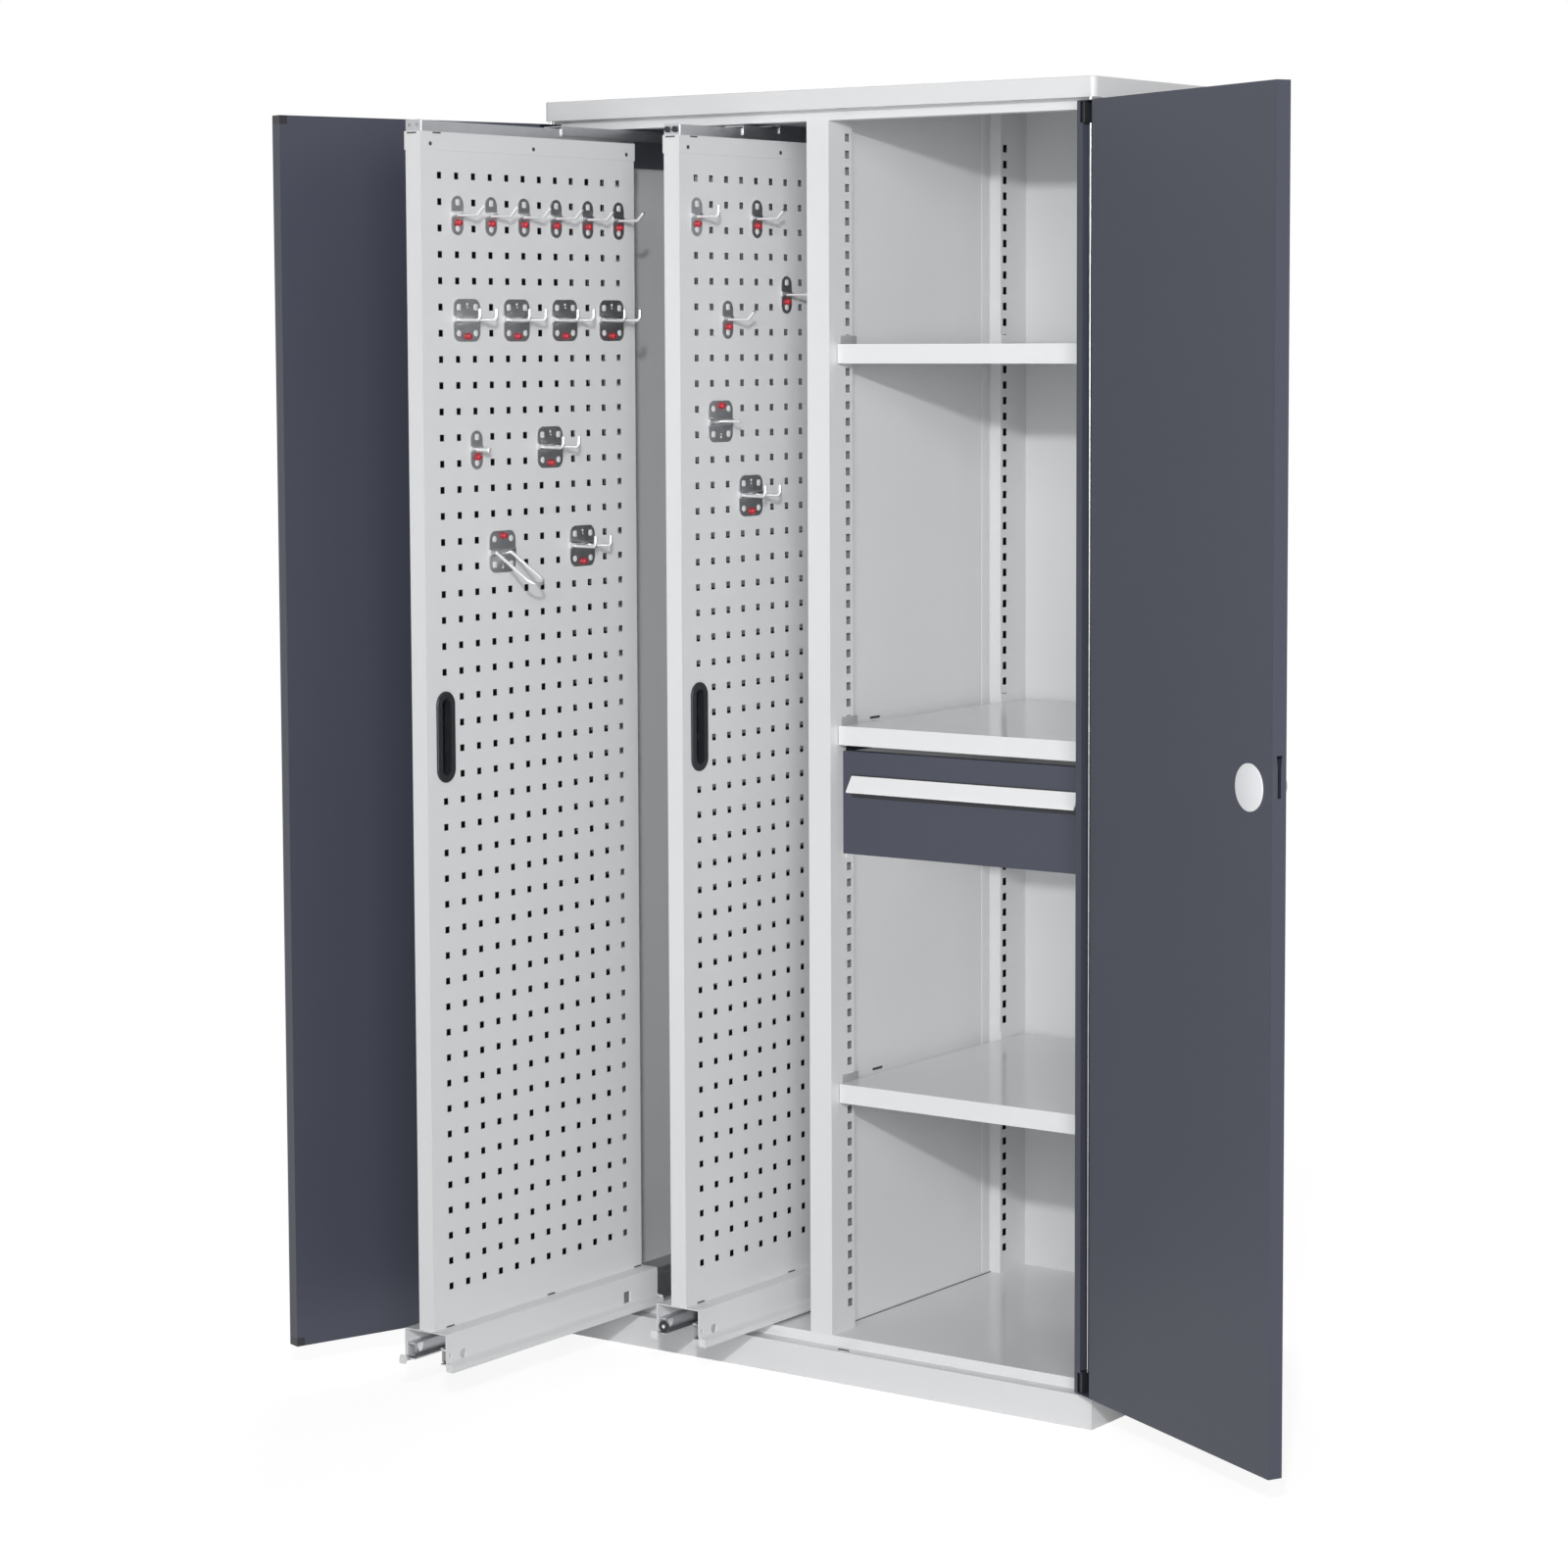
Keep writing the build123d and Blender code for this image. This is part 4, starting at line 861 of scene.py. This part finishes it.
# Shelf hooks, hem of the divider, slots and seam
# Grey steel hooks hold the shelves' front corners at the divider, whose sheet ends in
# a folded hem. Its slots at two shelves, its open seam along the floor and the slot
# in the plinth's front are dark pads on the surface: painted shade.
hook_length = 0.042
hook_height = 0.0125
hook_thickness = 0.0012
hook_back = 0.0085
hook_grey = powder_coat("hook_grey", (0.4, 0.402, 0.41), 0.5, 0.001)
hook_size = (hook_thickness, hook_length, hook_height)
hook = begin("shelf_hook", bpy.ops.mesh.primitive_cube_add, size=1, scale=hook_size)
pick(hook, "edges", lambda edge: abs(edge.verts[0].co.x - edge.verts[1].co.x) > 0.0001)
bpy.ops.mesh.bevel(offset=0.0015, segments=2)
pick(hook, "faces", faces_out)
bpy.ops.mesh.inset(thickness=0.0003)
bpy.ops.transform.translate(value=(0.0001, 0, 0))
end_shaping(hook)
post_low, post_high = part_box("divider_post_front")
hook_places = []
for shelf in ("upper", "middle", "lower"):
    shelf_low, shelf_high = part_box(f"shelf_{shelf}")
    hook_y = shelf_low.y + hook_back + hook_length / 2
    hook_places.append((post_high.x + hook_thickness / 2, hook_y, shelf_high.z + hook_height / 2))
fit_out(set_out(hook, "shelf_hooks", hook_places), hook_grey, "cabinet")
bpy.data.objects.remove(hook)

hem_low, hem_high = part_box("divider_panel")
rear_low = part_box("divider_post_rear")[0]
floor_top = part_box("floor_panel")[1].z
plinth_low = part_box("plinth")[0]


def slot_shade_pad(name, spot, size):
    """A dark pad with rounded ends laid on the surface: painted shade in place of a slot or open seam.
    """
    way = size.index(max(size))
    line = begin(name, bpy.ops.mesh.primitive_cube_add, size=1, location=spot, scale=size)
    pick(line, "edges", lambda edge: abs(edge.verts[0].co[way] - edge.verts[1].co[way]) < 0.0001)
    bpy.ops.mesh.bevel(offset=min(size) * 0.4, segments=2)
    fit_out(end_shaping(line), dark_steel_and_slot_shade, "cabinet")


shelf_slot_size = (0.001, 0.026, 0.0036)
slot_proud = 0.0004
slot_rise = 0.0019
for shelf, slot_y in (("middle", -0.118), ("lower", -0.113)):
    shelf_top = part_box(f"shelf_{shelf}")[1].z
    slot_spot = (hem_high.x + slot_proud, slot_y, shelf_top + slot_rise)
    slot_shade_pad(f"shelf_{shelf}_slot", slot_spot, shelf_slot_size)
floor_seam_size = (0.0012, rear_low.y - post_high.y, 0.001)
floor_seam_rise = 0.0004
floor_seam_y = (post_high.y + rear_low.y) / 2
floor_seam_spot = (hem_high.x + floor_seam_size[0] / 2, floor_seam_y, floor_top + floor_seam_rise)
slot_shade_pad("floor_seam", floor_seam_spot, floor_seam_size)
vent_size = (0.02, 0.0008, 0.0022)
vent_spot = (0.0626, plinth_low.y - 0.0001, 0.0529)
slot_shade_pad("plinth_vent", vent_spot, vent_size)

hem_width = 0.021
hem_thickness = 0.0008
hem_proud = 0.0002
hem_gap = 0.0053
hem_short = 0.01
hem_y = rear_low.y - hem_gap - hem_width / 2
hem = begin(
    "divider_hem",
    bpy.ops.mesh.primitive_cube_add,
    size=1,
    location=(hem_high.x + hem_proud, hem_y, (hem_low.z + hem_high.z) / 2),
    scale=(hem_thickness, hem_width, hem_high.z - hem_low.z - hem_short),
)
pick(hem, "edges", lambda edge: abs(edge.verts[0].co.z - edge.verts[1].co.z) > 0.1)
bpy.ops.mesh.bevel(offset=0.0003, segments=2)
fit_out(end_shaping(hem), body_paint, "cabinet")


# Lock knob, cover disc and drawer handle
# Light grey plastic knob, a paler plastic disc pressed over the lock inside the
# door, and a bent steel handle painted nearly white, with a black strip behind it
# that shows below and above the handle: painted shade.
lock_grey = moulded("lock_grey", (0.76, 0.78, 0.8), 0.4, 0.0008, 0.00003)
finish(lock_grey, "lock_knob")
disc_white = moulded("disc_white", (0.9, 0.915, 0.94), 0.4, 0.0008, 0.00003)
disc_low, disc_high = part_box("lock_cover_disc")
disc_thickness = 0.0017
disc_shift = 0.00015
door_open = 152.8
disc_master = begin(
    "disc_master",
    bpy.ops.mesh.primitive_cylinder_add,
    vertices=64,
    radius=(disc_high.z - disc_low.z) / 2,
    depth=disc_thickness,
    rotation=(math.radians(90), 0, 0),
)
pick(disc_master, "faces", lambda face: face.normal.y > 0.9)
bpy.ops.mesh.bevel(offset=disc_thickness * 0.4, segments=3)
end_shaping(disc_master)
disc_seat = turned((disc_low + disc_high) / 2, door_open) @ Matrix.Translation((0, -disc_shift, 0))
cover_disc = set_out(disc_master, "cover_disc", [disc_seat])
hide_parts("lock_cover_disc")
fit_out(cover_disc, disc_white, "right_door")
bpy.data.objects.remove(disc_master)
handle_paint = powder_coat("handle_paint", (0.86, 0.865, 0.875), 0.38, fine_grain)
finish(handle_paint, "drawer_handle")

handle_low, handle_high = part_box("drawer_handle")
front_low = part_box("drawer_front")[0]
strip_drop = 0.0085
strip_rise = 0.0014
strip_depth = 0.0008
strip_proud = 0.0002
# A black strip behind the handle, proud of the front below and above it: painted shade.
handle_shade_strip = begin(
    "handle_shade_strip",
    bpy.ops.mesh.primitive_cube_add,
    size=1,
    location=(
        (handle_low.x + handle_high.x) / 2,
        front_low.y - strip_proud,
        (handle_low.z - strip_drop + handle_high.z + strip_rise) / 2,
    ),
    scale=(
        handle_high.x - handle_low.x,
        strip_depth,
        handle_high.z - handle_low.z + strip_drop + strip_rise,
    ),
)
pick(handle_shade_strip, "edges", lambda edge: abs(edge.verts[0].co.y - edge.verts[1].co.y) > 0.0001)
bpy.ops.mesh.bevel(offset=0.0012, segments=3)
fit_out(end_shaping(handle_shade_strip), black_plastic, "drawer")

# The drawer throws no shadow, so the compartment under it is evenly lit.
for hung in ("drawer_front", "drawer_box", "drawer_housing", "drawer_handle"):
    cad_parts[hung].visible_shadow = False
